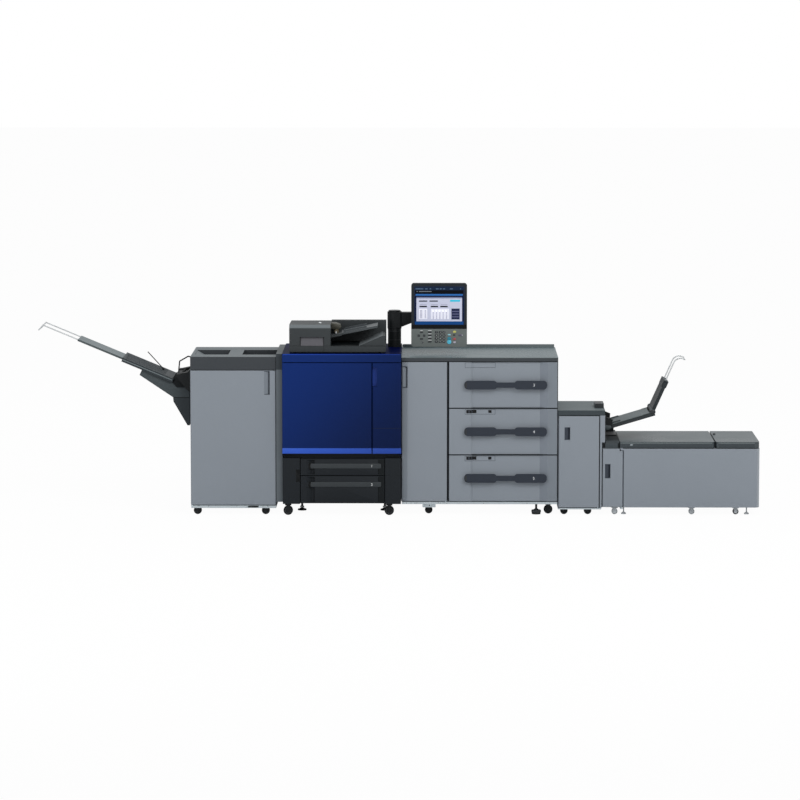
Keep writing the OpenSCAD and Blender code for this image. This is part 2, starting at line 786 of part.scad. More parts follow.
module panel_arm() color("#202325") place() {
    half = arm_h / 2;
    translate([post_x, post_y, post_top + fit]) linear_extrude(hub_h) hub_shape();
    translate([post_x, post_y, post_top + hub_h - 1]) cylinder(r = hub_r - 7, h = 10, $fn = 64);
    translate([0, 0, arm_z0]) linear_extrude(arm_h) {
        translate([post_x, post_y - 35]) square([knuckle_x - post_x, 70]);
        translate([knuckle_x, post_y]) circle(r = 35);
    }
    // wedge under the arm beside the hub
    translate([0, post_y + 30, 0]) rotate([90, 0, 0]) linear_extrude(60)
        polygon([[post_x, post_top + 4], [post_x + hub_r, post_top + 4], [post_x + 110, arm_z0 + 1],
            [post_x, arm_z0 + 1]]);
    block(knuckle_x - 24, knuckle_x + 24, knuckle_y, post_y, knuckle_z - 22, knuckle_z + 22);
    pin_x(knuckle_x - knuckle_half, knuckle_x + knuckle_half, knuckle_y, knuckle_z, knuckle_r);
    pin_x(knuckle_x - knuckle_half - ear_t, knuckle_x + knuckle_half + ear_t, knuckle_y, knuckle_z);
}

module control_panel() color("#33383c") place() {
    back_y = panel_front + panel_t;
    difference() {
        union() {
            translate([panel_left, back_y, panel_z]) rotate([90, 0, 0])
                linear_extrude(panel_t) round_rect(panel_w, panel_h, 17);
            translate([panel_left + 30, back_y + panel_bulge, panel_z + 34]) rotate([90, 0, 0])
                linear_extrude(panel_bulge + 1) round_rect(panel_w - 60, panel_h - 68, 24);
            for (s = [-1, 1]) translate([knuckle_x + s * (knuckle_half + 2 + ear_t / 2), 0, 0]) {
                translate([-ear_t / 2, back_y - 1, knuckle_z - 18]) cube([ear_t, knuckle_gap + 1, 36]);
                translate([-ear_t / 2, knuckle_y, knuckle_z]) rotate([0, 90, 0])
                    cylinder(r = 18, h = ear_t);
            }
        }
        pin_x(knuckle_x - 100, knuckle_x + 100, knuckle_y, knuckle_z, pin_r + fit);
        // seats of the screen glass and of the keypad plate
        block(screen_x[0], screen_x[1], panel_front - 1, panel_front + screen_t, screen_z[0],
            screen_z[1]);
        block(panel_left + 8, panel_left + panel_w - 8, panel_front - 1, panel_front + screen_t,
            panel_z + 8, panel_z + keypad_h);
    }
}

module panel_screen() color("#4a63b0") place()
    block(screen_x[0], screen_x[1], panel_front + 0.5, panel_front + screen_t, screen_z[0],
        screen_z[1]);

module panel_keypad() color("#6a6f70") place()
    block(panel_left + 8, panel_left + panel_w - 8, panel_front, panel_front + screen_t,
        panel_z + 8, panel_z + keypad_h);

// ---------------- Paper feeder ----------------
bay_x = pf_l + pf_left_w;
feed_z = pf_z + pf_base_h;
drawer_gap = 8;
drawer_l = bay_x + 6;
drawer_r = pf_r - clear;
drawer_z1 = [top_z - clear, top_z - clear - drawer_h - drawer_gap,
    top_z - clear - 2 * (drawer_h + drawer_gap)];
drawer_z0 = [drawer_z1[0] - drawer_h, drawer_z1[1] - drawer_h, feed_z + clear];
feeder_hinge_x = bay_x - 6 - edge_r;
shelf_t = 12;
bay_back = pf_back - pf_wall;
box_lift = 26;
box_h = 190;

module feeder_cabinet() color("#878e95") place() {
    difference() {
        block(pf_l, bay_x, body_y, pf_back, feed_z, top_z);
        block(pf_l + 40, bay_x - 40, body_y - 1, body_y + 24, feed_z + 40, top_z - 40);
    }
}

module drawer_bay() color("#5d6367") place() {
    cells = [[feed_z + pf_wall, drawer_z0[1] - drawer_gap / 2 - shelf_t / 2],
        [drawer_z0[1] - drawer_gap / 2 + shelf_t / 2, drawer_z0[0] - drawer_gap / 2 - shelf_t / 2],
        [drawer_z0[0] - drawer_gap / 2 + shelf_t / 2, top_z - pf_wall]];
    difference() {
        block(bay_x, pf_r, body_y, pf_back, feed_z, top_z);
        for (c = cells) block(bay_x + pf_wall, pf_r - pf_wall, body_y - 1, bay_back, c[0], c[1]);
    }
    // runners that carry the drawers
    for (z = drawer_z0, x = [bay_x + pf_wall - 1, pf_r - pf_wall - 14])
        block(x, x + 15, body_y, bay_back, z + box_lift - fit - runner, z + box_lift - fit);
}

module worktop() color("#7b8689") place() {
    leaf(pf_l, pf_r, front_set, pf_depth, top_z, top_z + top_t, 6);
    block(pf_l + 6, pf_r - 6, pf_back - 22, pf_back, top_z + top_t - 1, top_z + top_t + lip_h);
    pin_z(feeder_hinge_x, front_set + edge_r, top_z - clear - pin_in, top_z + 1);
}

module feeder_base() color("#b8c8d0") place() {
    block(pf_l + 4, pf_r - 4, front_set, pf_back - 20, pf_z, feed_z);
    pin_z(feeder_hinge_x, front_set + edge_r, feed_z - 1, feed_z + clear + pin_in);
}

module feeder_casters() color("#26282a") place() {
    for (y = [front_set + 87, pf_back - 80]) {
        caster(pf_r - 59, y, pf_z, 56);
        caster(pf_l + 176, y, pf_z, 48);
    }
    for (y = [front_set + 60, pf_back - 50]) foot(pf_r - 136, y, pf_z);
    foot(pf_l + 80, pf_back - 50, pf_z);
}

module feeder_door() color("#878e95") place() {
    door_l = pf_l + clear;
    difference() {
        door(door_l, bay_x - 6, front_set, door_t, feed_z + clear, top_z - clear, feeder_hinge_x);
        pocket(door_l + 3, 32, top_z - 169, top_z - 33, front_set, grip_depth);
        // slanted strip along the free edge
        translate([0, 0, feed_z]) linear_extrude(top_z - feed_z)
            polygon([[door_l - 1, front_set - 1], [door_l + 39, front_set - 1],
                [door_l + 39, front_set], [door_l - 1, front_set + 7]]);
    }
}

grip_x = drawer_l + 98;
dish_depth = 12;
dish = [[drawer_l + 139, 0], [drawer_l + 153, dish_depth], [drawer_r - 111, dish_depth],
    [drawer_r - 60, 0]];

// Drawer: dished front and an open box that runs on the bay's runners
module paper_drawer(i) color("#878e95") place() {
    z0 = drawer_z0[i];
    z1 = drawer_z1[i];
    box_l = bay_x + pf_wall + clear;
    box_r = pf_r - pf_wall - clear;
    box_y = front_set + door_t;
    wall = 6;
    difference() {
        leaf(drawer_l, drawer_r, front_set, door_t, z0, z1, 4);
        translate([0, front_set, z0 - 1]) linear_extrude(z1 - z0 + 2)
            polygon(concat([[dish[0][0], -1]], dish, [[dish[3][0], -1]]));
    }
    difference() {
        block(box_l, box_r, box_y - 1, box_y + drawer_box_depth, z0 + box_lift, z0 + box_lift + box_h);
        block(box_l + wall, box_r - wall, box_y + wall, box_y + drawer_box_depth - wall,
            z0 + box_lift + wall, z0 + box_lift + box_h + 1);
    }
}

module paper_drawer_3() paper_drawer(0);
module paper_drawer_4() paper_drawer(1);
module paper_drawer_5() paper_drawer(2);

// Grip: two wide ends joined by a slimmer bar that stands clear of the dish
module drawer_grip(i) color("#3c434d") place() {
    zm = drawer_z1[i] - 145;
    grip_t = 16;
    stand = 8;
    neck = 105;
    translate([0, front_set - stand, zm]) rotate([90, 0, 0]) linear_extrude(grip_t) {
        for (x = [grip_x, grip_x + grip_w - 2 * neck]) translate([x, -grip_h / 2])
            round_rect(2 * neck, grip_h, 24);
        translate([grip_x + neck, -grip_mid_h / 2]) square([grip_w - 2 * neck, grip_mid_h]);
    }
    for (x = [grip_x + 8, grip_x + grip_w - 8 - 30]) translate([0, front_set, zm - 16])
        linear_extrude(32) polygon([[x, -stand - 1], [x + 30, -stand - 1],
            [x + 30, lookup(x + 30, dish)], [x, lookup(x, dish)]]);
}

module drawer_grip_3() drawer_grip(0);
module drawer_grip_4() drawer_grip(1);
module drawer_grip_5() drawer_grip(2);

// ---------------- Bypass cabinet ----------------
byp_back = front_set + byp_depth;
byp_band_z = byp_h - byp_band_h;
byp_base_h = 8;
byp_floor = byp_z + byp_base_h;
over_z = lid_z + 35;
byp_wheel = 48;
byp_wheel_x = [byp_l + 0.14 * byp_w, byp_l + 0.645 * byp_w];
byp_wheel_y = [front_set + 0.115 * byp_depth, byp_back - 0.13 * byp_depth];
byp_caster_top = byp_floor + 12;
byp_door_r = byp_l + clear + byp_door_w;
byp_hinge_x = byp_door_r - edge_r;

module bypass_cabinet() color("#878e95") place() {
    difference() {
        union() {
            block(byp_l, ban_l, body_y, byp_back, byp_floor, byp_band_z);
            block(ban_l - 1, byp_r, front_set, byp_back, over_z, byp_band_z);
            block(byp_door_r + clear, ban_l, front_set, body_y + 1, byp_floor, byp_band_z);
        }
        block(byp_l + 30, byp_door_r - 30, body_y - 1, body_y + 24, byp_floor + 30, byp_band_z - 30);
        for (x = byp_wheel_x, y = byp_wheel_y) well(x, y, byp_floor, byp_caster_top, byp_wheel);
    }
}

module bypass_base() color("#b8c8d0") place() {
    difference() {
        block(byp_l + 2, ban_l - 2, front_set, byp_back - 20, byp_z, byp_floor);
        for (x = byp_wheel_x, y = byp_wheel_y) well(x, y, byp_z, byp_floor + 1, byp_wheel);
    }
    pin_z(byp_hinge_x, front_set + edge_r, byp_floor - 1, byp_floor + clear + pin_in);
}

module bypass_top() color("#4a5054") place() {
    leaf(byp_l, byp_r, front_set, byp_depth, byp_band_z, byp_h, 6);
    block(byp_r - 61, byp_r - 3, front_set + 140, front_set + 290, byp_h - 1, byp_h + 28);
    pin_z(byp_hinge_x, front_set + edge_r, byp_band_z - clear - pin_in, byp_band_z + 1);
}

module bypass_casters() color("#26282a") place()
    for (x = byp_wheel_x, y = byp_wheel_y) caster(x, y, byp_caster_top, byp_wheel);

module bypass_door() color("#878e95") place() {
    difference() {
        door(byp_l + clear, byp_door_r, front_set, door_t, byp_floor + clear, byp_band_z - clear,
            byp_hinge_x);
        pocket(byp_l + 42, 36, byp_band_z - 171, byp_band_z - 64, front_set, grip_depth);
    }
}

// ---------------- Bypass tray ----------------
byp_axis_x = byp_r + 30;
byp_y0 = front_set + 140;
byp_y1 = byp_y0 + byp_tray_w;
cheek_t = 14;
elbow_r = 15;
elbow_n = 14;
guide_rr = guide_d / 2;
upper_y0 = byp_y0 + cheek_t + 5;
upper_y1 = byp_y1 - cheek_t - 5;

// Lays its children along the lower section: x along the tray, z square to it
module on_bypass() {
    translate([byp_axis_x, 0, byp_hinge_z]) rotate([0, -byp_slope, 0]) children();
}

// Lays its children along the upper section from the elbow's axis
module on_upper() {
    on_bypass() translate([byp_len, 0, elbow_n]) rotate([0, byp_slope - upper_slope, 0]) children();
}

module pin_y(x, z, y0, y1, r = pin_r) {
    translate([x, y1, z]) rotate([90, 0, 0]) cylinder(r = r, h = y1 - y0);
}

module bypass_bracket() color("#202325") place() {
    plate = 10;
    cheek_r = 20;
    block(byp_r, byp_r + plate, byp_y0 - cheek_t - 5, byp_y1 + cheek_t + 5, byp_hinge_z - 20,
        byp_hinge_z + 72);
    for (y = [byp_y0 - cheek_t - 5, byp_y1 + 5]) {
        translate([0, y + cheek_t, byp_hinge_z]) rotate([90, 0, 0]) linear_extrude(cheek_t)
            polygon([[byp_r, -cheek_r], [byp_axis_x, -cheek_r], [byp_axis_x + cheek_r, 0],
                [byp_axis_x + cheek_r + 4, 50], [byp_r, 72]]);
        pin_y(byp_axis_x, byp_hinge_z, y == byp_y1 + 5 ? byp_y1 - pin_in : y + 1,
            y == byp_y1 + 5 ? y + 1 : byp_y0 + pin_in);
    }
}

module bypass_tray() color("#34393d") place() on_bypass() {
    difference() {
        union() {
            pin_y(0, 0, byp_y0, byp_y1, byp_t / 2);
            block(0, byp_len - 24, byp_y0, byp_y1, -byp_t / 2, byp_t / 2);
            for (y = [byp_y0, byp_y1 - cheek_t]) {
                pin_y(byp_len, elbow_n, y, y + cheek_t, elbow_r + 3);
                block(byp_len - 60, byp_len, y, y + cheek_t, -byp_t / 2, elbow_n);
            }
            // flange under the elbow
            block(byp_len - 25, byp_len + 10, byp_y0, byp_y1, -byp_t / 2, elbow_n - elbow_r - 5.5);
        }
        pin_y(0, 0, byp_y0 - 1, byp_y0 + pin_in + fit, pin_r + fit);
        pin_y(0, 0, byp_y1 - pin_in - fit, byp_y1 + 1, pin_r + fit);
    }
    pin_y(byp_len, elbow_n, byp_y0 + cheek_t - 1, upper_y0 + pin_in);
    pin_y(byp_len, elbow_n, upper_y1 - pin_in, byp_y1 - cheek_t + 1);
}

module bypass_upper() color("#34393d") place() on_upper() {
    ym = (byp_y0 + byp_y1) / 2;
    difference() {
        union() {
            pin_y(0, 0, upper_y0, upper_y1, elbow_r);
            block(0, upper_len, upper_y0, upper_y1, -upper_t / 2, upper_t / 2);
            block(upper_len - 30, upper_len + 14, upper_y0 + 20, upper_y1 - 20, -upper_t / 2 - 6,
                upper_t / 2 + 4);
        }
        pin_y(0, 0, upper_y0 - 1, upper_y0 + pin_in + fit, pin_r + fit);
        pin_y(0, 0, upper_y1 - pin_in - fit, upper_y1 + 1, pin_r + fit);
        for (s = [-1, 1]) translate([40, ym + s * guide_w / 2, 0]) rotate([0, 90, 0])
            cylinder(r = guide_rr + fit, h = upper_len);
    }
}

// Round bar bent about the origin, from straight up and clockwise by less than a half turn
module bent_bar(r, bar_r, turn) {
    reach = 2 * r;
    intersection() {
        rotate_extrude() translate([r, 0]) circle(r = bar_r);
        translate([0, 0, -reach]) linear_extrude(2 * reach)
            polygon([[0, 0], [0, reach], [reach, reach], [reach, 0],
                [reach * sin(turn), reach * cos(turn)]]);
    }
}

module bypass_guide() color("#c3c8ca") place() on_upper() {
    $fn = 96;
    ym = (byp_y0 + byp_y1) / 2;
    start = upper_len - 26;
    u1 = upper_len + 14 + guide_len;
    tip = [u1 + guide_r * cos(90 - guide_bend), -guide_r + guide_r * sin(90 - guide_bend)];
    for (s = [-1, 1]) translate([0, ym + s * guide_w / 2, 0]) {
        translate([start, 0, 0]) rotate([0, 90, 0]) cylinder(r = guide_rr, h = u1 - start);
        translate([u1, 0, -guide_r]) rotate([90, 0, 0]) bent_bar(guide_r, guide_rr, guide_bend);
        translate([tip[0], 0, tip[1]]) sphere(r = guide_rr + 0.4);
    }
    pin_y(tip[0], tip[1], ym - guide_w / 2, ym + guide_w / 2, guide_rr);
}

// ---------------- Banner feeder ----------------
ban_back = front_set + ban_depth;
ban_floor = ban_z + 11;
ban_wheel = 38;
ban_wheel_x = [ban_l + 0.085 * ban_w, ban_l + 0.574 * ban_w, ban_l + 0.854 * ban_w];
ban_wheel_y = [front_set + 60, ban_back - 70];
ban_foot_x = [ban_l + 0.143 * ban_w, ban_l + 0.924 * ban_w];
base_set = 90;
ban_top = lid_z - clear;
ban_main_x = ban_l + 141;
ban_corner = 30;
lid_l = ban_l + ban_left_w;
lid_m = lid_l + lid_left_w;
lid_r0 = lid_m + lid_gap;
lid_r1 = ban_r - 3;
lid_axis_y = ban_back - edge_r;
lid_axis_z = lid_z + edge_r;
lid_bracket_w = 24;
ban_hinge_x = ban_main_x - clear - edge_r;
left_brackets = [lid_l + 80, lid_m - 80];
right_brackets = [lid_r0 + 60, lid_r1 - 60];

// Block whose front upright edges are round, with radius rl at the left and rr at the right
module round_block(x0, x1, y0, y1, z0, z1, rl, rr) {
    translate([0, 0, z0]) linear_extrude(z1 - z0) {
        translate([x0 + rl, y0]) square([x1 - x0 - rl - rr, y1 - y0]);
        translate([x0, y0 + rl]) square([x1 - x0 - rr, y1 - y0 - rl]);
        translate([x0 + rl, y0 + rr]) square([x1 - x0 - rl, y1 - y0 - rr]);
        if (rl > 0) translate([x0 + rl, y0 + rl]) circle(r = rl);
        translate([x1 - rr, y0 + rr]) circle(r = rr);
    }
}

module banner_housing() color("#878e95") place() {
    cell_y0 = front_set + ban_wall + 10;
    cell_y1 = ban_back - 3 * ban_wall;
    difference() {
        union() {
            block(ban_l, ban_main_x + 1, body_y, ban_back, ban_floor, ban_top);
            round_block(ban_main_x, ban_r, front_set, ban_back, ban_floor, ban_top, 0, ban_corner);
            // hinge plate of the small door
            block(ban_hinge_x - edge_r, ban_main_x + 1, front_set, body_y + 1, ban_top - 10, ban_top);
        }
        block(ban_main_x + ban_wall, lid_m - 12, cell_y0, cell_y1, ban_floor + 80, ban_top + 1);
        block(lid_r0 + 34, ban_r - ban_wall - 8, cell_y0, cell_y1, ban_floor + 80, ban_top + 1);
        block(ban_l + 30, ban_main_x - 30, body_y - 1, body_y + 24, ban_floor + 30, ban_top - 40);
    }
    pin_z(ban_hinge_x, front_set + edge_r, ban_top - 10 - clear - pin_in, ban_top - 9);
    // lid hinges: brackets with their pins
    for (x = concat(left_brackets, right_brackets)) {
        pin_x(x - lid_bracket_w / 2, x + lid_bracket_w / 2, lid_axis_y, lid_axis_z, 7);
        block(x - lid_bracket_w / 2, x + lid_bracket_w / 2, lid_axis_y - 7, lid_axis_y + 7,
            ban_top - 1, lid_axis_z);
        pin_x(x - lid_bracket_w / 2 - 15, x + lid_bracket_w / 2 + 15, lid_axis_y, lid_axis_z, 3);
    }
}

module banner_base() color("#b8c8d0") place() {
    difference() {
        block(ban_l + 2, ban_r - 30, front_set + base_set, ban_back - 20, ban_z, ban_floor);
        for (x = ban_wheel_x) well(x, ban_wheel_y[1], ban_z, ban_floor + 1, ban_wheel);
    }
    block(ban_hinge_x - edge_r, ban_hinge_x + edge_r, front_set, front_set + base_set + 1, ban_z,
        ban_floor);
    pin_z(ban_hinge_x, front_set + edge_r, ban_floor - 1, ban_floor + clear + pin_in);
}

// Fixed part that carries paper from the banner feeder into the bypass cabinet
module transport_section() color("#34383b") place() {
    x1 = lid_l - clear;
    step_z = lid_z + 46;
    motor_x = [byp_r + 17, x1 - 14];
    motor_y = [ban_back - 100, ban_back - 10];
    block(ban_l, x1, front_set, ban_back, ban_top, over_z - clear);
    block(byp_r + clear, x1, front_set, ban_back, over_z - clear - 1, step_z);
    block(motor_x[0], motor_x[1], motor_y[0], motor_y[1], step_z - 1, step_z + 34);
}

module banner_door() color("#878e95") place() {
    door_r = ban_main_x - clear;
    difference() {
        door(ban_l + clear, door_r, front_set, door_t, ban_floor + clear, ban_top, ban_hinge_x);
        block(ban_hinge_x - 14, door_r + 1, front_set - 1, front_set + door_t + 1,
            ban_top - 10 - clear, ban_top + 1);
        pin_z(ban_hinge_x, front_set + edge_r, ban_top - 10 - clear - pin_in - fit, ban_top,
            pin_r + fit);
        pocket(ban_l + 21, 35, ban_top - 191, ban_top - 99, front_set, grip_depth);
    }
}

// Flat lid, notched behind for its two hinge brackets and hollow below
module lid(x0, x1, brackets, left, right) {
    notch = lid_bracket_w + 10;
    notch_z = lid_axis_z + 15;
    difference() {
        union() {
            round_block(x0, x1, front_set, ban_back - edge_r, lid_z, lid_z + lid_t, left, right);
            block(x0, x1, ban_back - edge_r - 1, ban_back, lid_axis_z, lid_z + lid_t);
            pin_x(x0, x1, lid_axis_y, lid_axis_z, edge_r);
        }
        for (x = brackets) {
            block(x - notch / 2, x + notch / 2, lid_axis_y - 18, ban_back + 1, lid_z - 1, notch_z);
            pin_x(x - notch / 2 - 12, x + notch / 2 + 12, lid_axis_y, lid_axis_z, 3 + fit);
        }
        block(x0 + 34, x1 - 34, front_set + 30, lid_axis_y - 40, lid_z - 1, lid_z + 16);
    }
}

module banner_lid_left() color("#4a5054") place() lid(lid_l, lid_m, left_brackets, 4, lid_corner);

module banner_lid_right() color("#4a5054") place()
    lid(lid_r0, lid_r1, right_brackets, lid_corner, ban_corner - 3);

module banner_casters() color("#9aa0a4") place() {
    for (x = ban_wheel_x, y = ban_wheel_y) caster(x, y, ban_floor, ban_wheel);
    for (x = ban_foot_x, y = [front_set + 66, ban_back - 46])
        foot(x, y, y > mid_y ? ban_z : ban_floor, 30);
}

finisher_housing();
finisher_top();
finisher_base();
finisher_casters();
exit_frame();
exit_guard();
finisher_door();
stack_tray();
tray_extension();
tray_bail();
paper_lever();
relay_column();
relay_top();
engine_housing();
engine_top();
engine_sill();
engine_lower_body();
engine_casters();
engine_left_door();
engine_right_door();
paper_tray_1();
paper_tray_2();
platen_glass();
document_feeder();
document_tray();
panel_post();
panel_arm();
control_panel();
panel_screen();
panel_keypad();
feeder_cabinet();
drawer_bay();
worktop();
feeder_base();
feeder_casters();
feeder_door();
paper_drawer_3();
paper_drawer_4();
paper_drawer_5();
drawer_grip_3();
drawer_grip_4();
drawer_grip_5();
bypass_cabinet();
bypass_base();
bypass_top();
bypass_bracket();
bypass_casters();
bypass_door();
bypass_tray();
bypass_upper();
bypass_guide();
banner_housing();
banner_base();
transport_section();
banner_door();
banner_lid_left();
banner_lid_right();
banner_casters();
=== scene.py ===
import json
import math
import bpy
import numpy as np
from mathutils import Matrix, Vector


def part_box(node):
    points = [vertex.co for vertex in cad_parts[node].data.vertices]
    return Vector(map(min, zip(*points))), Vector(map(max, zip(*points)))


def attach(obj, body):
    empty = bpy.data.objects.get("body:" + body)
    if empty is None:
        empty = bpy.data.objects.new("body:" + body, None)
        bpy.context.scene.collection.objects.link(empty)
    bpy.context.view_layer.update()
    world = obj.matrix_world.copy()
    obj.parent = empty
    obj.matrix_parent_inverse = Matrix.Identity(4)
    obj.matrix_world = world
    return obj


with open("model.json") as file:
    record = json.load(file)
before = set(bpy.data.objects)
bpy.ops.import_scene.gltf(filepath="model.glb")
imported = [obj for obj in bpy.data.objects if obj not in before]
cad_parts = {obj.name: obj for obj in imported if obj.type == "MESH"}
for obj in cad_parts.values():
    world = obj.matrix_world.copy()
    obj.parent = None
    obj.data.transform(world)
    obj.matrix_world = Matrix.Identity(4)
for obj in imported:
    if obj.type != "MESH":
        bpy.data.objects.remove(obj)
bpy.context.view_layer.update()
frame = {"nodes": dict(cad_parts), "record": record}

# Looks of a digital printing line: finishes, small fittings, lamps and camera.
# Boxes, shapes and places are in millimetres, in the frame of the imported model.

mm = 0.001
scene = bpy.context.scene
scene.view_settings.view_transform = "Standard"
box = {name: np.array(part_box(name)) / mm for name in frame["nodes"]}
bodyOf = {node: body for body, nodes in frame["record"]["behaviour"]["bodies"].items() for node in nodes}

# camera: far off and long, a little above the line, measured from the engine's front
cameraSetup = {"aside": 0.60536, "back": 24.3968, "up": 3.4852, "tilt": 6.402, "turn": 0.547, "lens": 173.25}
engineLow, engineHigh = box["engine_top"]
lens = bpy.data.cameras.new("lineCamera")
lens.lens = cameraSetup["lens"]
lens.sensor_width = 36
lens.clip_end = 200
camera = bpy.data.objects.new("lineCamera", lens)
scene.collection.objects.link(camera)
camera.location = ((engineLow[0] + engineHigh[0]) / 2 * mm + cameraSetup["aside"],
    engineLow[1] * mm - cameraSetup["back"], cameraSetup["up"])
camera.rotation_euler = (math.radians(90 - cameraSetup["tilt"]), 0, math.radians(cameraSetup["turn"]))
scene.camera = camera
print("camera: %.1f mm lens" % lens.lens)


def linear(hexColour):
    # sRGB hex to linear light
    parts = np.array([int(hexColour[i:i + 2], 16) for i in (1, 3, 5)]) / 255
    parts = np.where(parts <= 0.04045, parts / 12.92, ((parts + 0.055) / 1.055) ** 2.4)
    return (*parts.tolist(), 1.0)


def addNode(tree, kind, inputs=None, **settings):
    # one shader node with its settings; an input given as (node, output name) is linked
    node = tree.nodes.new("ShaderNode" + kind)
    for key, value in settings.items():
        setattr(node, key, value)
    for key, value in (inputs or {}).items():
        if isinstance(value, tuple) and isinstance(value[0], bpy.types.Node):
            tree.links.new(value[0].outputs[value[1]], node.inputs[key])
        else:
            node.inputs[key].default_value = value
    return node


def newMaterial(name):
    material = bpy.data.materials.new(name)
    material.use_nodes = True
    material.node_tree.nodes.clear()
    return material, material.node_tree


# lamps, sky and floor: white towards the lens, plain soft light on the line
stageSetup = {"world": 0.5, "sky": (0.97, 0.985, 1, 1), "floor": "#f6f6f6", "floorWhite": 0.965, "reach": 60}
white = (1, 1, 1, 1)
world = bpy.data.worlds.new("studio")
scene.world = world
world.use_nodes = True
worldTree = world.node_tree
worldTree.nodes.clear()
seen = addNode(worldTree, "LightPath")
direct = addNode(worldTree, "Math", {0: (seen, "Is Camera Ray"), 1: (seen, "Is Transmission Ray")},
    operation="MAXIMUM", use_clamp=True)
whiteSky = addNode(worldTree, "Background", {"Color": white, "Strength": 1.0})
softSky = addNode(worldTree, "Background", {"Color": stageSetup["sky"], "Strength": stageSetup["world"]})
skyMix = addNode(worldTree, "MixShader", {0: (direct, 0), 1: (softSky, 0), 2: (whiteSky, 0)})
addNode(worldTree, "OutputWorld", {"Surface": (skyMix, 0)})

# large soft lamps: place, the point each is turned towards, size, power
lamps = {"keyLamp": ((3.4, -6.0, 5.2), (-0.2, 0, 0.6), (5, 3), 230),
    "fillLamp": ((-4.6, -6.5, 2.6), (-0.4, 0, 0.6), (4, 3), 90),
    "rimLamp": ((1.0, 4.5, 5.0), (0, 0, 0.9), (6, 2), 70)}
for name, (place, aim, size, power) in lamps.items():
    lamp = bpy.data.lights.new(name, "AREA")
    lamp.shape = "RECTANGLE"
    lamp.size, lamp.size_y = size
    lamp.energy = power
    holder = bpy.data.objects.new(name, lamp)
    scene.collection.objects.link(holder)
    holder.location = place
    way = np.array(aim) - np.array(place)
    holder.rotation_euler = (math.acos(-way[2] / np.linalg.norm(way)), 0, math.atan2(way[1], way[0]) - math.pi / 2)

# white floor: its own light towards the lens, plain paint for the shadow
floorPaint, floorTree = newMaterial("mattWhiteFloorPaint")
seen = addNode(floorTree, "LightPath")
either = addNode(floorTree, "Math", {0: (seen, "Is Camera Ray"), 1: (seen, "Is Transmission Ray")},
    operation="ADD", use_clamp=True)
direct = addNode(floorTree, "Math", {0: (either, 0), 1: stageSetup["floorWhite"]}, operation="MULTIPLY")
dull = addNode(floorTree, "BsdfDiffuse", {"Color": linear(stageSetup["floor"]), "Roughness": 0.5})
glow = addNode(floorTree, "Emission", {"Color": white, "Strength": 1.0})
floorMix = addNode(floorTree, "MixShader", {0: (direct, 0), 1: (dull, 0), 2: (glow, 0)})
addNode(floorTree, "OutputMaterial", {"Surface": (floorMix, 0)})
floorMesh = bpy.data.meshes.new("studioFloor")
reach = stageSetup["reach"]
floorMesh.from_pydata([(-reach, -reach, 0), (reach, -reach, 0), (reach, reach, 0), (-reach, reach, 0)], [],
    [(0, 1, 2, 3)])
floorMesh.materials.append(floorPaint)
studioFloor = bpy.data.objects.new("studioFloor", floorMesh)
scene.collection.objects.link(studioFloor)
print("stage: lamps, sky and floor")

# painted light and shade: faces take a lighter or darker colour by the way they lean, in place of how the lamps fall on
# them; the axis their normal leans along, where the painted shade starts and is full
leanings = {"brow": ("Z", 0.2, 0.5), "crown": ("Z", 0.93, 0.99), "upper": ("Z", 0.35, 0.85), "flat": ("Z", 0.7, 0.95),
    "left": ("X", -0.06, -0.16), "right": ("X", 0.3, 0.8)}


def shadedBy(tree, place, leaning, paint, shade):
    # painted light or shade: paint that turns to another colour as the surface leans, and the amount of it
    axis, low, high = leanings[leaning]
    lie = addNode(tree, "SeparateXYZ", {0: (place, "Normal")})
    amount = addNode(tree, "MapRange", {"Value": (lie, axis), "From Min": low, "From Max": high},
        interpolation_type="SMOOTHSTEP")
    mixed = addNode(tree, "Mix", {0: (amount, 0), 6: paint, 7: linear(shade)}, data_type="RGBA")
    return amount, (mixed, 2)


def mouldedPlastic(name, colour, rough, gloss, skin, paintedShades=None):
    # injection moulded ABS with a spark eroded skin: dull, faintly pebbled, with broad soft patches where hands and
    # dust have changed the sheen; the colours given for faces that lean are painted light and shade
    grain, bump, tone, coat = skins[skin]
    material, tree = newMaterial(name)
    place = addNode(tree, "TexCoord")
    # real skin grain is about 0.3 mm; drawn a few times coarser so that it shows
    pebbles = addNode(tree, "TexNoise", {"Vector": (place, "Object"), "Scale": 1 / (grain * mm), "Detail": 3.0,
        "Roughness": 0.6})
    patches = addNode(tree, "TexNoise", {"Vector": (place, "Object"), "Scale": 3.2, "Detail": 3.0, "Roughness": 0.55})
    base = linear(colour)
    dark = tuple(c * (1 - tone) for c in base[:3]) + (1,)
    light = tuple(min(1, c * (1 + tone)) for c in base[:3]) + (1,)
    paint = (addNode(tree, "Mix", {0: (patches, "Fac"), 6: dark, 7: light}, data_type="RGBA"), 2)
    # painted light and shade on the faces that lean
    for leaning, shade in (paintedShades or {}).items():
        paint = shadedBy(tree, place, leaning, paint, shade)[1]
    sheen = addNode(tree, "MapRange", {"Value": (patches, "Fac"), "From Min": 0.3, "From Max": 0.7,
        "To Min": rough - 0.05, "To Max": rough + 0.07})
    relief = addNode(tree, "Bump", {"Height": (pebbles, "Fac"), "Strength": bump, "Distance": 0.0002})
    shell = addNode(tree, "BsdfPrincipled", {"Base Color": paint, "Roughness": (sheen, 0), "IOR": 1.52,
        "Coat Weight": coat, "Coat Roughness": 0.12, "Specular IOR Level": gloss, "Normal": (relief, 0)})
    addNode(tree, "OutputMaterial", {"Surface": (shell, 0)})
    return material


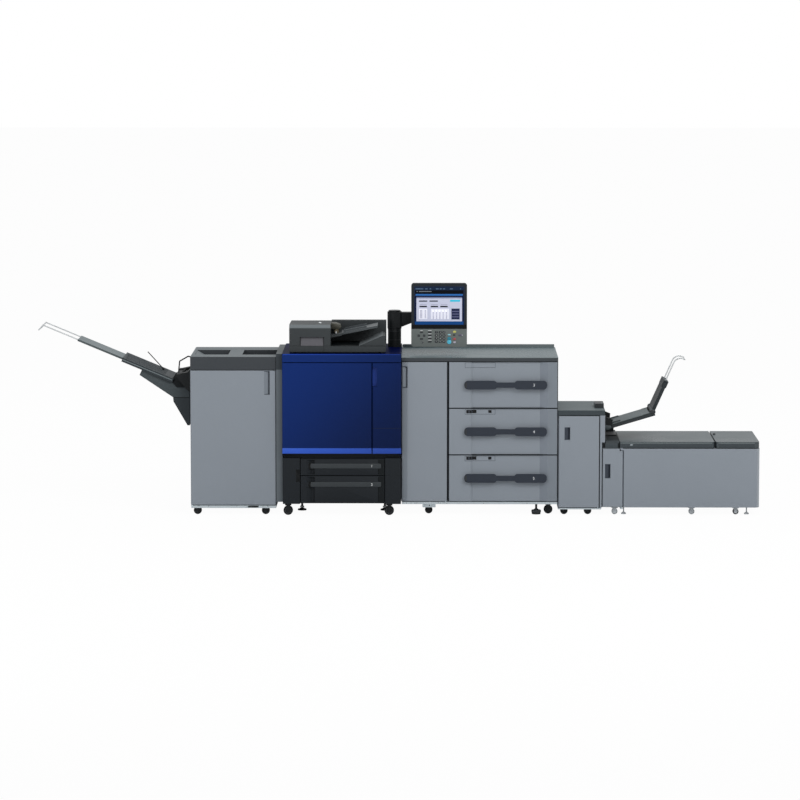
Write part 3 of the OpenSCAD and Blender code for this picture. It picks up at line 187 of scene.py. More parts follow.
def sprayedLacquer(name, left, right, x0, x1, rough=0.36, gloss=0.1, coat=0.06, drop=0.0, upper=None):
    # sprayed metallic lacquer on ABS: satin, with fine flake whose sparkle is painted as paler flecks of colour; a
    # painted light makes the colour a shade deeper along the panel from x0 to x1, and down it by drop; orange peel of a
    # few mm; upper is a painted shade, deep and with its gloss taken out, on the faces that lie flat
    material, tree = newMaterial(name)
    place = addNode(tree, "TexCoord")
    parts = addNode(tree, "SeparateXYZ", {0: (place, "Object")})
    fall = addNode(tree, "Math", {0: (parts, "Z"), 1: -drop, 2: (parts, "X")}, operation="MULTIPLY_ADD")
    way = addNode(tree, "MapRange", {"Value": (fall, 0), "From Min": x0, "From Max": x1},
        interpolation_type="SMOOTHSTEP")
    # real flake is about 0.05 mm; drawn at 1.5 mm so that it shows
    flake = addNode(tree, "TexVoronoi", {"Vector": (place, "Object"), "Scale": 650.0}, feature="F1")
    paintedGlint = addNode(tree, "MapRange", {"Value": (flake, "Color"), "From Min": 0.2, "From Max": 0.9, "To Min": 0.0,
        "To Max": 0.10})
    paintedLightRun = addNode(tree, "Mix", {0: (way, 0), 6: linear(left), 7: linear(right)}, data_type="RGBA")
    pale = tuple(min(1, c * 1.9 + 0.01) for c in linear(left)[:3]) + (1,)
    paint = (addNode(tree, "Mix", {0: (paintedGlint, 0), 6: (paintedLightRun, 2), 7: pale}, data_type="RGBA"), 2)
    shine = gloss
    if upper:
        flat, paint = shadedBy(tree, place, "flat", paint, upper)
        shine = (addNode(tree, "MapRange", {"Value": (flat, 0), "To Min": gloss, "To Max": 0.01}), 0)
    peel = addNode(tree, "TexNoise", {"Vector": (place, "Object"), "Scale": 260.0, "Detail": 2.0})
    relief = addNode(tree, "Bump", {"Height": (peel, "Fac"), "Strength": 0.08, "Distance": 0.0003})
    sheen = addNode(tree, "MapRange", {"Value": (flake, "Distance"), "To Min": rough - 0.03, "To Max": rough + 0.08})
    shell = addNode(tree, "BsdfPrincipled", {"Base Color": paint, "Roughness": (sheen, 0), "IOR": 1.5,
        "Specular IOR Level": shine, "Coat Weight": 0 if upper else coat, "Coat Roughness": 0.18,
        "Normal": (relief, 0)})
    addNode(tree, "OutputMaterial", {"Surface": (shell, 0)})
    return material


def rolledSteel(name, colour, rough, grainLength, across):
    # bare or plated steel: long faint rolling lines that stretch the highlight
    material, tree = newMaterial(name)
    place = addNode(tree, "TexCoord")
    turn = addNode(tree, "Mapping", {"Vector": (place, "Object"), "Scale": across})
    lines = addNode(tree, "TexNoise", {"Vector": (turn, 0), "Scale": 1000 / grainLength, "Detail": 4.0})
    sheen = addNode(tree, "MapRange", {"Value": (lines, "Fac"), "To Min": rough - 0.08, "To Max": rough + 0.1})
    relief = addNode(tree, "Bump", {"Height": (lines, "Fac"), "Strength": 0.12, "Distance": 0.0002})
    shell = addNode(tree, "BsdfPrincipled", {"Base Color": linear(colour), "Metallic": 1.0, "Roughness": (sheen, 0),
        "Normal": (relief, 0)})
    addNode(tree, "OutputMaterial", {"Surface": (shell, 0)})
    return material


def tintedParts(name, rough, glow=0.0, coat=0.0, gloss=0.5):
    # small parts whose colour is carried by the mesh itself, one colour a part
    material, tree = newMaterial(name)
    paint = addNode(tree, "Attribute", attribute_name="tint")
    place = addNode(tree, "TexCoord")
    fine = addNode(tree, "TexNoise", {"Vector": (place, "Object"), "Scale": 900.0, "Detail": 2.0})
    sheen = addNode(tree, "MapRange", {"Value": (fine, "Fac"), "To Min": rough - 0.05, "To Max": rough + 0.05})
    shell = addNode(tree, "BsdfPrincipled", {"Base Color": (paint, "Color"), "Roughness": (sheen, 0),
        "Specular IOR Level": gloss, "Coat Weight": coat, "Coat Roughness": 0.08})
    if glow:
        tree.links.new(paint.outputs["Color"], shell.inputs["Emission Color"])
        shell.inputs["Emission Strength"].default_value = glow
    addNode(tree, "OutputMaterial", {"Surface": (shell, 0)})
    return material


# moulded skins: grain in mm, height of its bump, contrast of the broad patches, weight of a clear coat
skins = {"pebbled": (1.4, 0.25, 0.03, 0.0), "pebbledDark": (1.4, 0.25, 0.04, 0.0),
    "pebbledSoft": (1.4, 0.2, 0.04, 0.0), "pebbledLow": (1.4, 0.1, 0.04, 0.0), "fine": (1.2, 0.25, 0.05, 0.0),
    "fineSoft": (1.2, 0.2, 0.04, 0.0), "fineEven": (1.2, 0.25, 0.04, 0.0), "fineLow": (1.2, 0.15, 0.04, 0.0),
    "fineRough": (1.2, 0.3, 0.06, 0.0), "fineWorn": (1.2, 0.3, 0.08, 0.0), "nylon": (1.0, 0.3, 0.06, 0.0),
    "nylonWorn": (1.0, 0.3, 0.08, 0.0), "satin": (1.0, 0.15, 0.04, 0.0), "satinBrown": (1.0, 0.15, 0.05, 0.0),
    "satinKeys": (1.0, 0.2, 0.04, 0.0), "satinBezel": (1.0, 0.12, 0.04, 0.0), "satinFrame": (1.0, 0.1, 0.04, 0.0),
    "softTouch": (0.9, 0.2, 0.05, 0.0), "rubber": (0.6, 0.3, 0.08, 0.0), "tyre": (0.8, 0.3, 0.08, 0.0),
    "hub": (0.8, 0.2, 0.06, 0.0), "painted": (2.0, 0.1, 0.03, 0.0), "laminate": (8, 0.0, 0.08, 0.0),
    "acrylic": (8, 0.0, 0.02, 0.1), "frosted": (3, 0.05, 0.02, 0.4), "coverGlass": (8, 0.0, 0.02, 0.3),
    "floatGlass": (8, 0.0, 0.02, 0.6)}
# moulded finishes of the material slots: name, colour, roughness, gloss, skin, and the painted light and shade of the
# faces that lean: tops painted lighter as if lit from above, and on the feeder a painted highlight on rounded edges and
# a painted dark reflection on flat tops
mouldedSlots = {"panel_grey": ("pebbledAbsSilverGrey", "#8a9199", 0.52, 0.3, "pebbled"),
    "band_dark": ("pebbledAbsGraphite", "#3f4347", 0.5, 0.2, "pebbledDark", {"upper": "#788084"}),
    "top_grey": ("pebbledAbsMidGrey", "#3f474b", 0.3, 0.5, "pebbledLow", {"upper": "#5b6669"}),
    "caster_black": ("mouldedNylonBlack", "#1b1d1f", 0.45, 0.25, "nylonWorn"),
    "caster_light": ("mouldedNylonGrey", "#c2c7ca", 0.45, 0.5, "nylon"),
    "black_plastic": ("pebbledAbsBlack", "#191c1e", 0.44, 0.2, "fineWorn"),
    "lower_black": ("pebbledAbsSoot", "#212529", 0.5, 0.15, "fineRough"),
    "tray_dark": ("pebbledAbsSlate", "#2b3134", 0.48, 0.2, "fineRough", {"upper": "#454e52"}),
    "extension_grey": ("pebbledAbsPewter", "#4c5557", 0.46, 0.3, "fine", {"upper": "#7e898c"}),
    "platen": ("floatGlassOverScanner", "#3c4a50", 0.08, 0.5, "floatGlass"),
    "adf_dark": ("pebbledAbsCharcoal", "#383c3e", 0.46, 0.22, "fine", {"brow": "#767c7f", "crown": "#34393b"}),
    "bezel_dark": ("satinAbsCarbon", "#22272c", 0.36, 0.2, "satinBezel"),
    "screen": ("coverGlassOverDisplay", "#0c1526", 0.12, 0.5, "coverGlass"),
    "keypad_grey": ("satinAbsStone", "#6b716f", 0.42, 0.3, "satinKeys"),
    "worktop_grey": ("polishedLaminateDove", "#46504f", 0.26, 0.35, "laminate", {"upper": "#64767b"}),
    "bay_grey": ("satinPaintedSteel", "#2c3033", 0.42, 0.3, "painted"),
    "grip_dark": ("softTouchGraphite", "#343942", 0.6, 0.15, "softTouch")}
# a few nodes whose colour differs from others of its kind, or whose leaning faces carry their own painted light and
# shade
# relay column painted darker than the panels beside it, as painted shade of the set-back column
mouldedNodes = {"relay_column": ("pebbledAbsAshGrey", "#676e73", 0.52, 0.2, "pebbled"),
    "relay_top": ("pebbledAbsDusk", "#3b4145", 0.5, 0.2, "pebbledDark", {"upper": "#656d6f"}),
    "bypass_top": ("pebbledAbsIron", "#3b4347", 0.46, 0.25, "pebbledSoft", {"upper": "#626d70"}),
    "document_tray": ("pebbledAbsFog", "#4a4f52", 0.46, 0.25, "fineSoft", {"upper": "#666b6e"}),
    "bypass_tray": ("pebbledAbsShale", "#2e3436", 0.46, 0.25, "fineSoft", {"upper": "#626d6f"}),
    # transport section: its top painted dark, as painted shadow of the bypass tray above it
    "transport_section": ("pebbledAbsSteelGrey", "#3d4346", 0.48, 0.25, "fineSoft", {"upper": "#2f3538"}),
    "stack_tray": ("pebbledAbsBasalt", "#33393d", 0.46, 0.2, "fine", {"upper": "#3b4347"}),
    "engine_sill": ("satinAbsInkBlue", "#060a22", 0.45, 0.1, "fineLow"),
    # hopper: faces turned to the right painted lighter, a painted highlight on its rounded right corner
    "banner_housing": ("pebbledAbsSilverGreyHopper", "#8a9199", 0.52, 0.3, "pebbled", {"right": "#a4aaaf"}),
    # drawers: painted shade in the bend at the right of the dish, painted light on the bend at its left
    "paper_drawer_3": ("pebbledAbsSilverGreyDrawer", "#8a9199", 0.52, 0.3, "pebbled",
    {"left": "#7c838c", "right": "#8d949c"})}
# moulded finishes that only small fittings wear; some stand for painted shade or painted highlight, as noted
# slate: dark grey of small parts and marks, and painted shade on pocket floors, walls and a gap
mouldedFittings = {"slate": ("mouldedAbsSlateLiner", "#383e47", 0.5, 0.25, "satin"),
    "indigo": ("mouldedAbsIndigoLiner", "#1a3a8c", 0.46, 0.2, "satin"),
    "softGrey": ("mouldedAbsSoftGrey", "#8f979b", 0.5, 0.3, "satin"),
    # silverDeep: painted shade, a little deeper than the silver grey, in pockets, on a door's bevel and on the drawers'
    # right ends, and the grey of a filled gap
    "silverDeep": ("pebbledAbsSilverDeep", "#7c838b", 0.52, 0.3, "pebbled"),
    "barGrey": ("mouldedAbsBarGrey", "#33383b", 0.42, 0.35, "satin"),
    "throatBrown": ("rubberRollerTan", "#6b6250", 0.7, 0.2, "rubber"),
    "pianoBlack": ("polishedAcrylicBlack", "#040608", 0.1, 0.2, "acrylic"),
    "tyre": ("polyurethaneTyreBlack", "#15171a", 0.55, 0.25, "tyre"),
    "hubBlack": ("mouldedNylonHubBlack", "#2b2e31", 0.36, 0.4, "hub"),
    "hubGrey": ("mouldedNylonHubGrey", "#5a5d5f", 0.4, 0.3, "hub"),
    "wingGrey": ("pebbledAbsWingGrey", "#4a5154", 0.5, 0.2, "fineEven"),
    # edgeGrey: painted highlight along the lids' front edge, painted light on the worktop lip's front, and the pale
    # line along the stack tray's side
    "edgeGrey": ("pebbledAbsEdgeGrey", "#6d7678", 0.42, 0.3, "fineLow"),
    "thumbGrey": ("mouldedAbsThumbGrey", "#5d5c61", 0.5, 0.25, "satin"),
    "lidFront": ("pebbledAbsLidFront", "#3c4347", 0.46, 0.25, "fineLow"),
    # near black: painted shade under trays, in gaps and wells, and dark joints
    "shadeAndJointBlack": ("pebbledAbsDeepBed", "#15191b", 0.5, 0.15, "fineSoft"),
    "midnight": ("satinAbsMidnight", "#10203c", 0.3, 0.15, "satinFrame"),
    "throatGrey": ("mouldedAbsThroatGrey", "#4d4c44", 0.5, 0.25, "satinBrown"),
    "lens": ("frostedAcrylicLens", "#e8ecef", 0.25, 0.5, "frosted")}
slotFinishes, nodeFinishes, looks = ({key: mouldedPlastic(*look) for key, look in group.items()}
    for group in (mouldedSlots, mouldedNodes, mouldedFittings))
engineLeft, engineRight = engineLow[0] * mm, engineHigh[0] * mm
slotFinishes.update({"zinc": rolledSteel("zincPlatedSheet", "#d9e2e6", 0.42, 60, (1, 14, 1)),
    "wire_steel": rolledSteel("nickelPlatedWire", "#d3d6d7", 0.42, 12, (14, 1, 1)),
    # navy and blue lacquers: a painted light, lighter towards the left and top of the line, and on the navy a painted
    # shade on flat tops
    "navy": sprayedLacquer("metallicNavyLacquerPaintedLight", "#102c6c", "#09173a", engineLeft - 0.85, engineRight - 0.3, 0.36,
    0.08, 0.03, 0.8, "#020e42"), "strip_blue": sprayedLacquer("metallicBlueLacquerPaintedLight", "#345cc6", "#28469c", engineLeft,
    engineRight, 0.34, 0.12)})
for number in (4, 5):
    nodeFinishes["paper_drawer_%d" % number] = nodeFinishes["paper_drawer_3"]
looks.update(slotFinishes)
looks.update(nodeFinishes)
# rim: a painted highlight along the lit top edge of the engine's band, in a lighter lacquer
looks.update({"rim": sprayedLacquer("paintedRimHighlight", "#2448ae", "#1c3684", engineLeft, engineRight),
    "marks": tintedParts("printedMarks", 0.4), "keys": tintedParts("siliconeKeys", 0.5, 0.0, 0.1),
    "display": tintedParts("litDisplayPage", 0.3, 0.25, 0.0, 0.12)})
slotOf = {part["node"]: part["material_slot"] for part in frame["record"]["subparts"]}
for nodeName, node in frame["nodes"].items():
    node.data.materials.clear()
    node.data.materials.append(nodeFinishes.get(nodeName, slotFinishes[slotOf[nodeName]]))
print("finishes: %d materials" % (len(slotFinishes) + len(nodeFinishes)))

# makers of surfaces; a face is its first axis and its second, seen from outside
acrossX, acrossY, upwards = np.eye(3)
frontFace, backFace, topFace = (acrossX, upwards), (-acrossX, upwards), (acrossX, acrossY)
leftFace, rightFace = (-acrossY, upwards), (acrossY, upwards)
throughY, throughZ = (0, 1, 0), (0, 0, 1)
thin = [(0, -0.2), (0, 0.12)]  # profile of a drawn line: hardly any rise
eased = [(0, -0.5), (0, 0.2), (0.3, 0.5)]  # profile of a thin plate with its edge eased


def slopedFront(slope):
    # front face whose first axis rises to the right by slope degrees
    c, s = math.cos(math.radians(slope)), math.sin(math.radians(slope))
    return np.array([c, 0, s]), np.array([-s, 0, c])


def slopedTop(slope):
    return slopedFront(slope)[0], acrossY


def addPiece(name, node, points, faces, tints=None, finish=None, sharp=35, slot=None):
    # one object from arrays: corners, faces and, where given, a colour for each corner; it rides with the
    # node that it sits on, and takes that node's slot unless it has its own; a name that starts with
    # an underline is put after the node's
    name = node + name if name[0] == "_" else name
    slot = slot or slotOf[node]
    mesh = bpy.data.meshes.new(name)
    mesh.from_pydata((np.asarray(points, float).reshape(-1, 3) * mm).tolist(), [], faces)
    mesh.materials.append(looks[finish or slot])
    if tints is not None:
        layer = mesh.color_attributes.new("tint", "FLOAT_COLOR", "POINT")
        layer.data.foreach_set("color", np.asarray(tints, float).reshape(-1))
    mesh.validate()
    mesh.shade_smooth()
    mesh.set_sharp_from_angle(angle=math.radians(sharp))
    piece = bpy.data.objects.new(name, mesh)
    scene.collection.objects.link(piece)
    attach(piece, bodyOf[node])


def gridFaces(rings, sides, copies=1):
    # quads between following rings of a closed outline, and one face over each end
    ring, side, copy = np.meshgrid(np.arange(rings - 1), np.arange(sides), np.arange(copies), indexing="ij")
    start = copy * rings * sides + ring * sides
    after = (side + 1) % sides
    quads = np.stack([start + side, start + after, start + sides + after, start + sides + side], -1).reshape(-1, 4)
    starts = np.arange(copies)[:, None] * rings * sides
    ends = [starts + np.arange(sides)[::-1], starts + (rings - 1) * sides + np.arange(sides)]
    return quads.tolist() + np.concatenate(ends).tolist()


def overFace(face, origin, flat, lift):
    # places along both axes of a face and out of it
    along, up = face
    return np.asarray(origin, float) + flat[..., :1] * along + flat[..., 1:] * up + lift * np.cross(along, up)


def plates(name, node, rects, face, level, profile, radius=0.0, finish=None, tints=None, steps=5, origin=(0, 0, 0),
    drape=None, slot=None):
    # raised or sunk plates with rounded corners: ring v of a plate is its outline drawn in by
    # profile[v][0] and lifted by profile[v][1]; a ring's corner is a quarter circle; with drape,
    # the face falls back along its first axis
    rects = np.asarray(rects, float).reshape(-1, 4)
    quarter = np.linspace(0, np.pi / 2, steps)
    turn = np.concatenate([quarter + q * np.pi / 2 for q in range(4)])
    signs = np.repeat(np.array([[1, 1], [-1, 1], [-1, -1], [1, -1]]), steps, 0)
    arc = np.stack([np.cos(turn), np.sin(turn)], -1)
    inset, rise = np.array(profile, float).T
    low, high = rects[:, None, None, ::2], rects[:, None, None, 1::2]
    corner = np.clip(radius - inset, 0, None)[None, :, None, None]
    inset = inset[None, :, None, None]
    flat = (low + high) / 2 + signs * ((high - low) / 2 - inset - corner) + corner * arc
    lift = np.broadcast_to(rise[None, :, None], flat.shape[:3]) + level
    if drape is not None:
        lift = lift - np.interp(flat[..., 0], *drape)
    points = overFace(face, origin, flat, lift[..., None])
    colours = None if tints is None else np.repeat([linear(t) for t in tints], len(profile) * len(turn), 0)
    addPiece(name, node, points, gridFaces(len(profile), len(turn), len(rects)), colours, finish, slot=slot)


def onFront(name, node, rects, profile, radius=0.0, finish=None, rise=0.0, **more):
    # plates on the front of a node
    plates(name, node, rects, frontFace, rise - box[node][0][1], profile, radius, finish, **more)


def outlined(name, node, outline, face, profile, finish=None, origin=(0, 0, 0), sharp=35):
    # block over any outline: ring v is the outline drawn in by profile[v][0] along its mitres and
    # lifted to profile[v][1]; the outline turns left seen from outside
    outline = np.asarray(outline, float)
    edge = np.roll(outline, -1, 0) - outline
    normal = np.stack([-edge[:, 1], edge[:, 0]], -1) / np.linalg.norm(edge, axis=1)[:, None]
    before = np.roll(normal, 1, 0)
    mitre = (normal + before) / (1 + (normal * before).sum(1))[:, None]
    inset, lift = np.array(profile, float).T[:, :, None, None]
    flat = outline + inset * mitre
    points = overFace(face, origin, flat, lift)
    addPiece(name, node, points, gridFaces(len(profile), len(outline)), None, finish, sharp)


def turned(name, node, centres, axis, profile, sides=24, finish=None, sharp=40, floor=False, slot=None):
    # round forms: each point (radius, height) of the profile is carried once round the axis;
    # with floor, a wheel is pressed flat where it stands
    axis = np.asarray(axis, float)
    side = np.cross(axis, upwards) if abs(axis[2]) < 0.9 else acrossX
    turn = np.linspace(0, 2 * np.pi, sides, endpoint=False)
    ring = np.cos(turn)[:, None] * side + np.sin(turn)[:, None] * np.cross(axis, side)
    profile = np.asarray(profile, float)
    shape = profile[:, :1, None] * ring + profile[:, 1:, None] * axis
    points = np.asarray(centres, float).reshape(-1, 1, 1, 3) + shape
    if floor:
        points[..., 2] = np.maximum(points[..., 2], 0.05)
    addPiece(name, node, points, gridFaces(len(profile), sides, len(points)), None, finish, sharp, slot)


def numerals(name, node, marks, level, size, tint, slot=None):
    # figures cut as thin shapes on a front; each mark is (figure, x, z)
    allPoints, allFaces, start = [], [], 0
    for figure, a, b in marks:
        curve = bpy.data.curves.new(name, "FONT")
        curve.body, curve.size, curve.resolution_u = figure, size, 3
        curve.align_x, curve.align_y = "CENTER", "CENTER"
        shape = bpy.data.objects.new(name, curve)
        scene.collection.objects.link(shape)
        bpy.context.view_layer.update()
        flat = bpy.data.meshes.new_from_object(shape.evaluated_get(bpy.context.evaluated_depsgraph_get()))
        corners = np.zeros(len(flat.vertices) * 3)
        flat.vertices.foreach_get("co", corners)
        corners = corners.reshape(-1, 3)
        allPoints.append((a + corners[:, :1]) * acrossX + (b + corners[:, 1:2]) * upwards - level * acrossY)
        allFaces += [[start + v for v in polygon.vertices] for polygon in flat.polygons]
        start += len(corners)
        bpy.data.objects.remove(shape)
        bpy.data.curves.remove(curve)
        bpy.data.meshes.remove(flat)
    addPiece(name, node, np.concatenate(allPoints), allFaces, np.repeat([linear(tint)], start, 0), "marks", slot=slot)


def spot(node, *edges):
    # left, right, foot and head over a node, counted from its low side, or from its high side where negative
    low, high = box[node]
    return [(high if edge < 0 else low)[axis] + edge for axis, edge in zip((0, 0, 2, 2), edges)]


def lines(a0, a1, b0, b1, width):
    # the four thin sides of a rectangle's outline
    return [[a0, a1, b0, b0 + width], [a0, a1, b1 - width, b1], [a0, a0 + width, b0 + width, b1 - width],
        [a1 - width, a1, b0 + width, b1 - width]]


def splitAt(rects, cuts):
    # rectangles cut at some places of their first axis, so that a bent face can carry them
    pieces = []
    for a0, a1, b0, b1 in rects:
        stops = [a0] + [c for c in cuts if a0 < c < a1] + [a1]
        pieces += [[s, e, b0, b1] for s, e in zip(stops, stops[1:])]
    return pieces


# display: a page of plain blocks, lit from behind; each block is left, right, top, bottom as shares of the page
page = {"strip": "#13233a", "black": "#02030a", "line": "#2c62a4", "navy": "#061233", "sheet": "#babdd0",
    "shade": "#a3abc2", "foot": "#0f3f78", "pill": "#38b6d2", "dark": "#252a45", "bar": "#50545f", "ink": "#0a0a14",
    "faint": "#9091a8", "dim": "#4c6078", "dot": "#757b84", "title": "#6b7078", "list": "#dfe0eb", "table": "#dddeea",
    "white": "#ffffff", "row": "#8d8ea6", "cell": "#8f90aa", "menu": "#6f7194"}
blocks = [(0, 1, 0.0, 0.08, "strip"), (0, 1, 0.08, 0.18, "black"), (0.015, 0.985, 0.18, 0.225, "line"),
    (0, 1, 0.225, 0.262, "navy"), (0.03, 0.972, 0.262, 0.912, "sheet"), (0.03, 0.972, 0.262, 0.298, "shade"),
    (0, 0.03, 0.262, 0.912, "navy"), (0.972, 1, 0.262, 0.912, "navy"), (0, 1, 0.912, 1, "foot")]
marks = [(0.08, 0.255, 0.352, 0.39, "bar"), (0.30, 0.47, 0.352, 0.39, "bar"), (0.724, 0.93, 0.335, 0.388, "pill"),
    (0.752, 0.922, 0.57, 0.862, "dark")]
marks += [(a, a + 0.152, 0.498, 0.535, "ink") for a in (0.094, 0.325, 0.522)]
marks += [(a, a + 0.14, 0.455, 0.468, "faint") for a in (0.1, 0.332, 0.53)]
marks += [(a, a + w, 0.03, 0.055, "dim") for a, w in ((0.012, 0.16), (0.21, 0.05), (0.3, 0.035), (0.43, 0.06),
    (0.51, 0.04), (0.58, 0.04), (0.72, 0.06), (0.93, 0.02))]
marks += [(0.034, 0.052, 0.1, 0.125, "dot"), (0.08, 0.34, 0.102, 0.124, "title"), (0.08, 0.255, 0.575, 0.85, "list"),
    (0.33, 0.705, 0.575, 0.85, "table")]
columns = 0.068 * np.arange(5)
fine = [(0.352 + c, 0.385 + c, 0.61, 0.65, "white") for c in columns]
fine += [(a, a + w, b, b + 0.016, "row") for b in np.arange(0.62, 0.84, 0.032) for a, w in [(0.1, 0.05), (0.2, 0.03)]]
fine += [(0.365 + c, 0.39 + c, b, b + 0.016, "cell") for b in np.arange(0.675, 0.84, 0.032) for c in columns]
fine += [(0.765, 0.91, b, b + 0.014, "menu") for b in (0.64, 0.71, 0.785)]
displayLow, displayHigh = box["panel_screen"]
screenW, screenH = displayHigh[0] - displayLow[0], displayHigh[2] - displayLow[2]
for index, (group, lift) in enumerate([(blocks, 0.3), (marks, 0.45), (fine, 0.6)]):
    rects = [[displayLow[0] + a0 * screenW, displayLow[0] + a1 * screenW, displayHigh[2] - b1 * screenH,
        displayHigh[2] - b0 * screenH] for a0, a1, b0, b1, _ in group]
    onFront("displayPage%d" % index, "panel_screen", rects, [(0, -0.1), (0, 0.05)], 0.6, "display", lift,
        tints=[page[g[4]] for g in group], steps=3)

# panel front: a stone grey lower half over the whole width, and a gloss black band above it
panelLow, panelHigh = box["control_panel"]
padLow, padHigh = box["panel_keypad"]
panelFront = {"corner": 17, "rise": 0.5, "seam": 1.2, "bandTop": 27, "frame": 6}
turn = np.linspace(0, np.pi / 2, 7)
cornerArc = panelFront["corner"] * np.stack([np.cos(turn), np.sin(turn)], -1)
lower = np.concatenate([[[panelHigh[0], padHigh[2]], [panelLow[0], padHigh[2]]],
    np.array([panelLow[0], panelLow[2]]) + panelFront["corner"] - cornerArc,
    np.array([panelHigh[0] - panelFront["corner"], panelLow[2] + panelFront["corner"]]) + cornerArc[::-1] * [1, -1]])
front = -panelLow[1]
outlined("keypad_surround", "panel_keypad", lower, frontFace, [(0, front - 1), (0, front + 0.2),
    (0.3, front + panelFront["rise"])])
onFront("panel_gloss_band", "control_panel", [[panelLow[0] + 1, panelHigh[0] - 1, padHigh[2] + panelFront["seam"],
    padHigh[2] + panelFront["bandTop"]]], eased, 1.0, "pianoBlack", slot="screen")
f = panelFront["frame"]
onFront("panel_inner_frame", "control_panel", lines(displayLow[0] - f, displayHigh[0] + f, displayLow[2] - f,
    displayHigh[2] + f, f), [(0, -0.5), (0, 0.1), (0.3, 0.3)], 0.0, "midnight", slot="screen")

# keypad: soft keys standing out of the grey plate; each is place over the plate in shares, width, height, colour
keyShape = [(0, -0.5), (0, 1.4), (0.3, 2.1), (0.9, 2.6), (2, 2.9)]
padFront = panelFront["rise"]
padW, padH = padHigh[0] - padLow[0], padHigh[2] - padLow[2]


def padKeys(name, keys, radius, steps, finish="keys", rise=padFront, profile=keyShape):
    rects = [[padLow[0] + u * padW - w / 2, padLow[0] + u * padW + w / 2, padHigh[2] - v * padH - h / 2,
        padHigh[2] - v * padH + h / 2] for u, v, w, h, _ in keys]
    onFront(name, "panel_keypad", rects, profile, radius, finish, rise, tints=[k[4] for k in keys], steps=steps)


figureColumns, figureRow = (0.448, 0.522, 0.59), 0.185
keys = [(0.325, 0.19 + 0.19 * k, 24, 11, "#26292b") for k in range(4)]
keys += [(u, 0.2 + figureRow * k, 19, 15, "#24272a") for u in figureColumns for k in range(4)]
keys += [(0.17, 0.2, 22, 10, "#2a2d2f"), (0.12, 0.4, 16, 16, "#34383a"), (0.22, 0.4, 16, 16, "#34383a"),
    (0.17, 0.6, 22, 10, "#2a2d2f"), (0.19, 0.82, 16, 10, "#3a3e40"), (0.79, 0.17, 20, 13, "#c9c66a"),
    (0.785, 0.36, 15, 10, "#2c3a2c"), (0.79, 0.6, 17, 13, "#b8484c"), (0.79, 0.8, 17, 11, "#b9b6c4"),
    (0.9, 0.37, 24, 12, "#5b5568"), (0.69, 0.35, 20, 9, "#9fd2da")]
padKeys("keypadKeys", keys, 4.9, 7)
rounds = [(0.69, 0.58, 25, 25, "#1d7d92"), (0.69, 0.78, 27, 27, "#55c3e0")]
padKeys("startKeys", rounds, 12.3, 9)
caps = [(0.79, 0.17, 11, 5, "#f3f1e0"), (0.79, 0.6, 9, 8, "#f8f4f5"), (0.915, 0.37, 15, 6, "#f2f0f6"),
    (0.17, 0.1, 18, 3.4, "#dfe3e3"), (0.19, 0.82, 12, 7, "#d5d9d9")]
caps += [(0.325, 0.1 + 0.19 * k, 22, 3.6, "#dde1e1") for k in range(4)] + [(0.685, 0.78, 10, 10, "#a9e6f4")]
padKeys("keyCaps", caps, 1.4, 4, "marks", padFront + 2.7, thin)
figures = [(f, padLow[0] + u * padW, padHigh[2] - (0.2 + figureRow * row) * padH)
    for row, line in enumerate(("123", "456", "789", "*0#")) for f, u in zip(line, figureColumns)]
numerals("keyFigures", "panel_keypad", figures, padFront + 3.05 - padLow[1], 11, "#d5d9d9")
print("panel: display and %d keys" % (len(keys) + len(rounds)))

# post of the panel: ring lines and a cap
postLow, postHigh = box["panel_post"]
post = {"lines": (16, 24, 80), "ring": [(42, -2), (43.6, -1.4), (43.8, 0), (43.6, 1.4), (42, 2)],
    "cap": [(37, -1), (37, 0.6), (35, 1.8), (20, 2.4), (0.5, 2.6)]}
postX, postY = (postLow[0] + postHigh[0]) / 2, (postLow[1] + postHigh[1]) / 2
turned("post_rings", "panel_post", [(postX, postY, postHigh[2] - z) for z in post["lines"]], throughZ, post["ring"],
    48, "hubBlack")
turned("arm_cap", "panel_arm", [(postX, postY, box["panel_arm"][1][2] - 0.5)], throughZ, post["cap"], 48, "hubBlack")

# drawers: windows and thin frames that follow the dished front, numbers on the grips; each pane and
# each bar of its gauge is left, right, above the frame's foot, below its head
drawer = {"line": 1.7, "left": 102, "right": 296, "height": 33, "figure": 25, "depth": 12,
    "dish": (139, 153, 581, 632), "panes": ((9, 74, 8, 4), (150, 170, 9, 6)),
    "gauge": ((22, 30, 11, 8), (42, 48, 11, 8))}
for number in (3, 4, 5):
    body = "paper_drawer_%d" % number
    grip = "drawer_grip_%d" % number
    (low, high), (gripLow, gripHigh) = box[body], box[grip]
    stops = [low[0] + s for s in drawer["dish"]]
    drape = (stops, [0, drawer["depth"], drawer["depth"], 0])
    z0, z1 = high[2] - drawer["height"] - 3, high[2] - 3
    left, right = low[0] + drawer["left"], low[0] + drawer["right"]
    onFront("_window_line", body, splitAt(lines(left, right, z0, z1, drawer["line"]), stops[:2]), thin,
        drape=drape, slot="lower_black")
    if number > 3:
        for part, bars, profile, finish, rise in (("window", drawer["panes"], [(0, -0.5), (0, 0.7), (0.2, 0.9)],
            "pianoBlack", 0), ("gauge", drawer["gauge"], thin, "slate", 0.9)):
            rects = [[left + a, left + b, z0 + c, z1 - d] for a, b, c, d in bars]
            onFront(body + "_" + part, body, splitAt(rects, stops[:2]), profile, 0, finish, rise, drape=drape,
                slot="screen")
    numerals(body + "_number", grip, [(str(number), gripHigh[0] - 83, (gripLow[2] + gripHigh[2]) / 2)],
        -gripLow[1] + 0.4, drawer["figure"], "#e4e7ea")
    # flat right end of the front, painted a shade deeper than the dish as painted shade, and a round end stop at the
    # left of each grip
    onFront("_end", body, [[stops[3] + 1, high[0] - 1, low[2] + 1, high[2] - 1]], thin, 1, "silverDeep")
    onFront(body + "_grip_end", grip, [spot(grip, 3, 16, 9, -9)], eased, 6, "hubBlack")
print("drawers: windows and numbers")
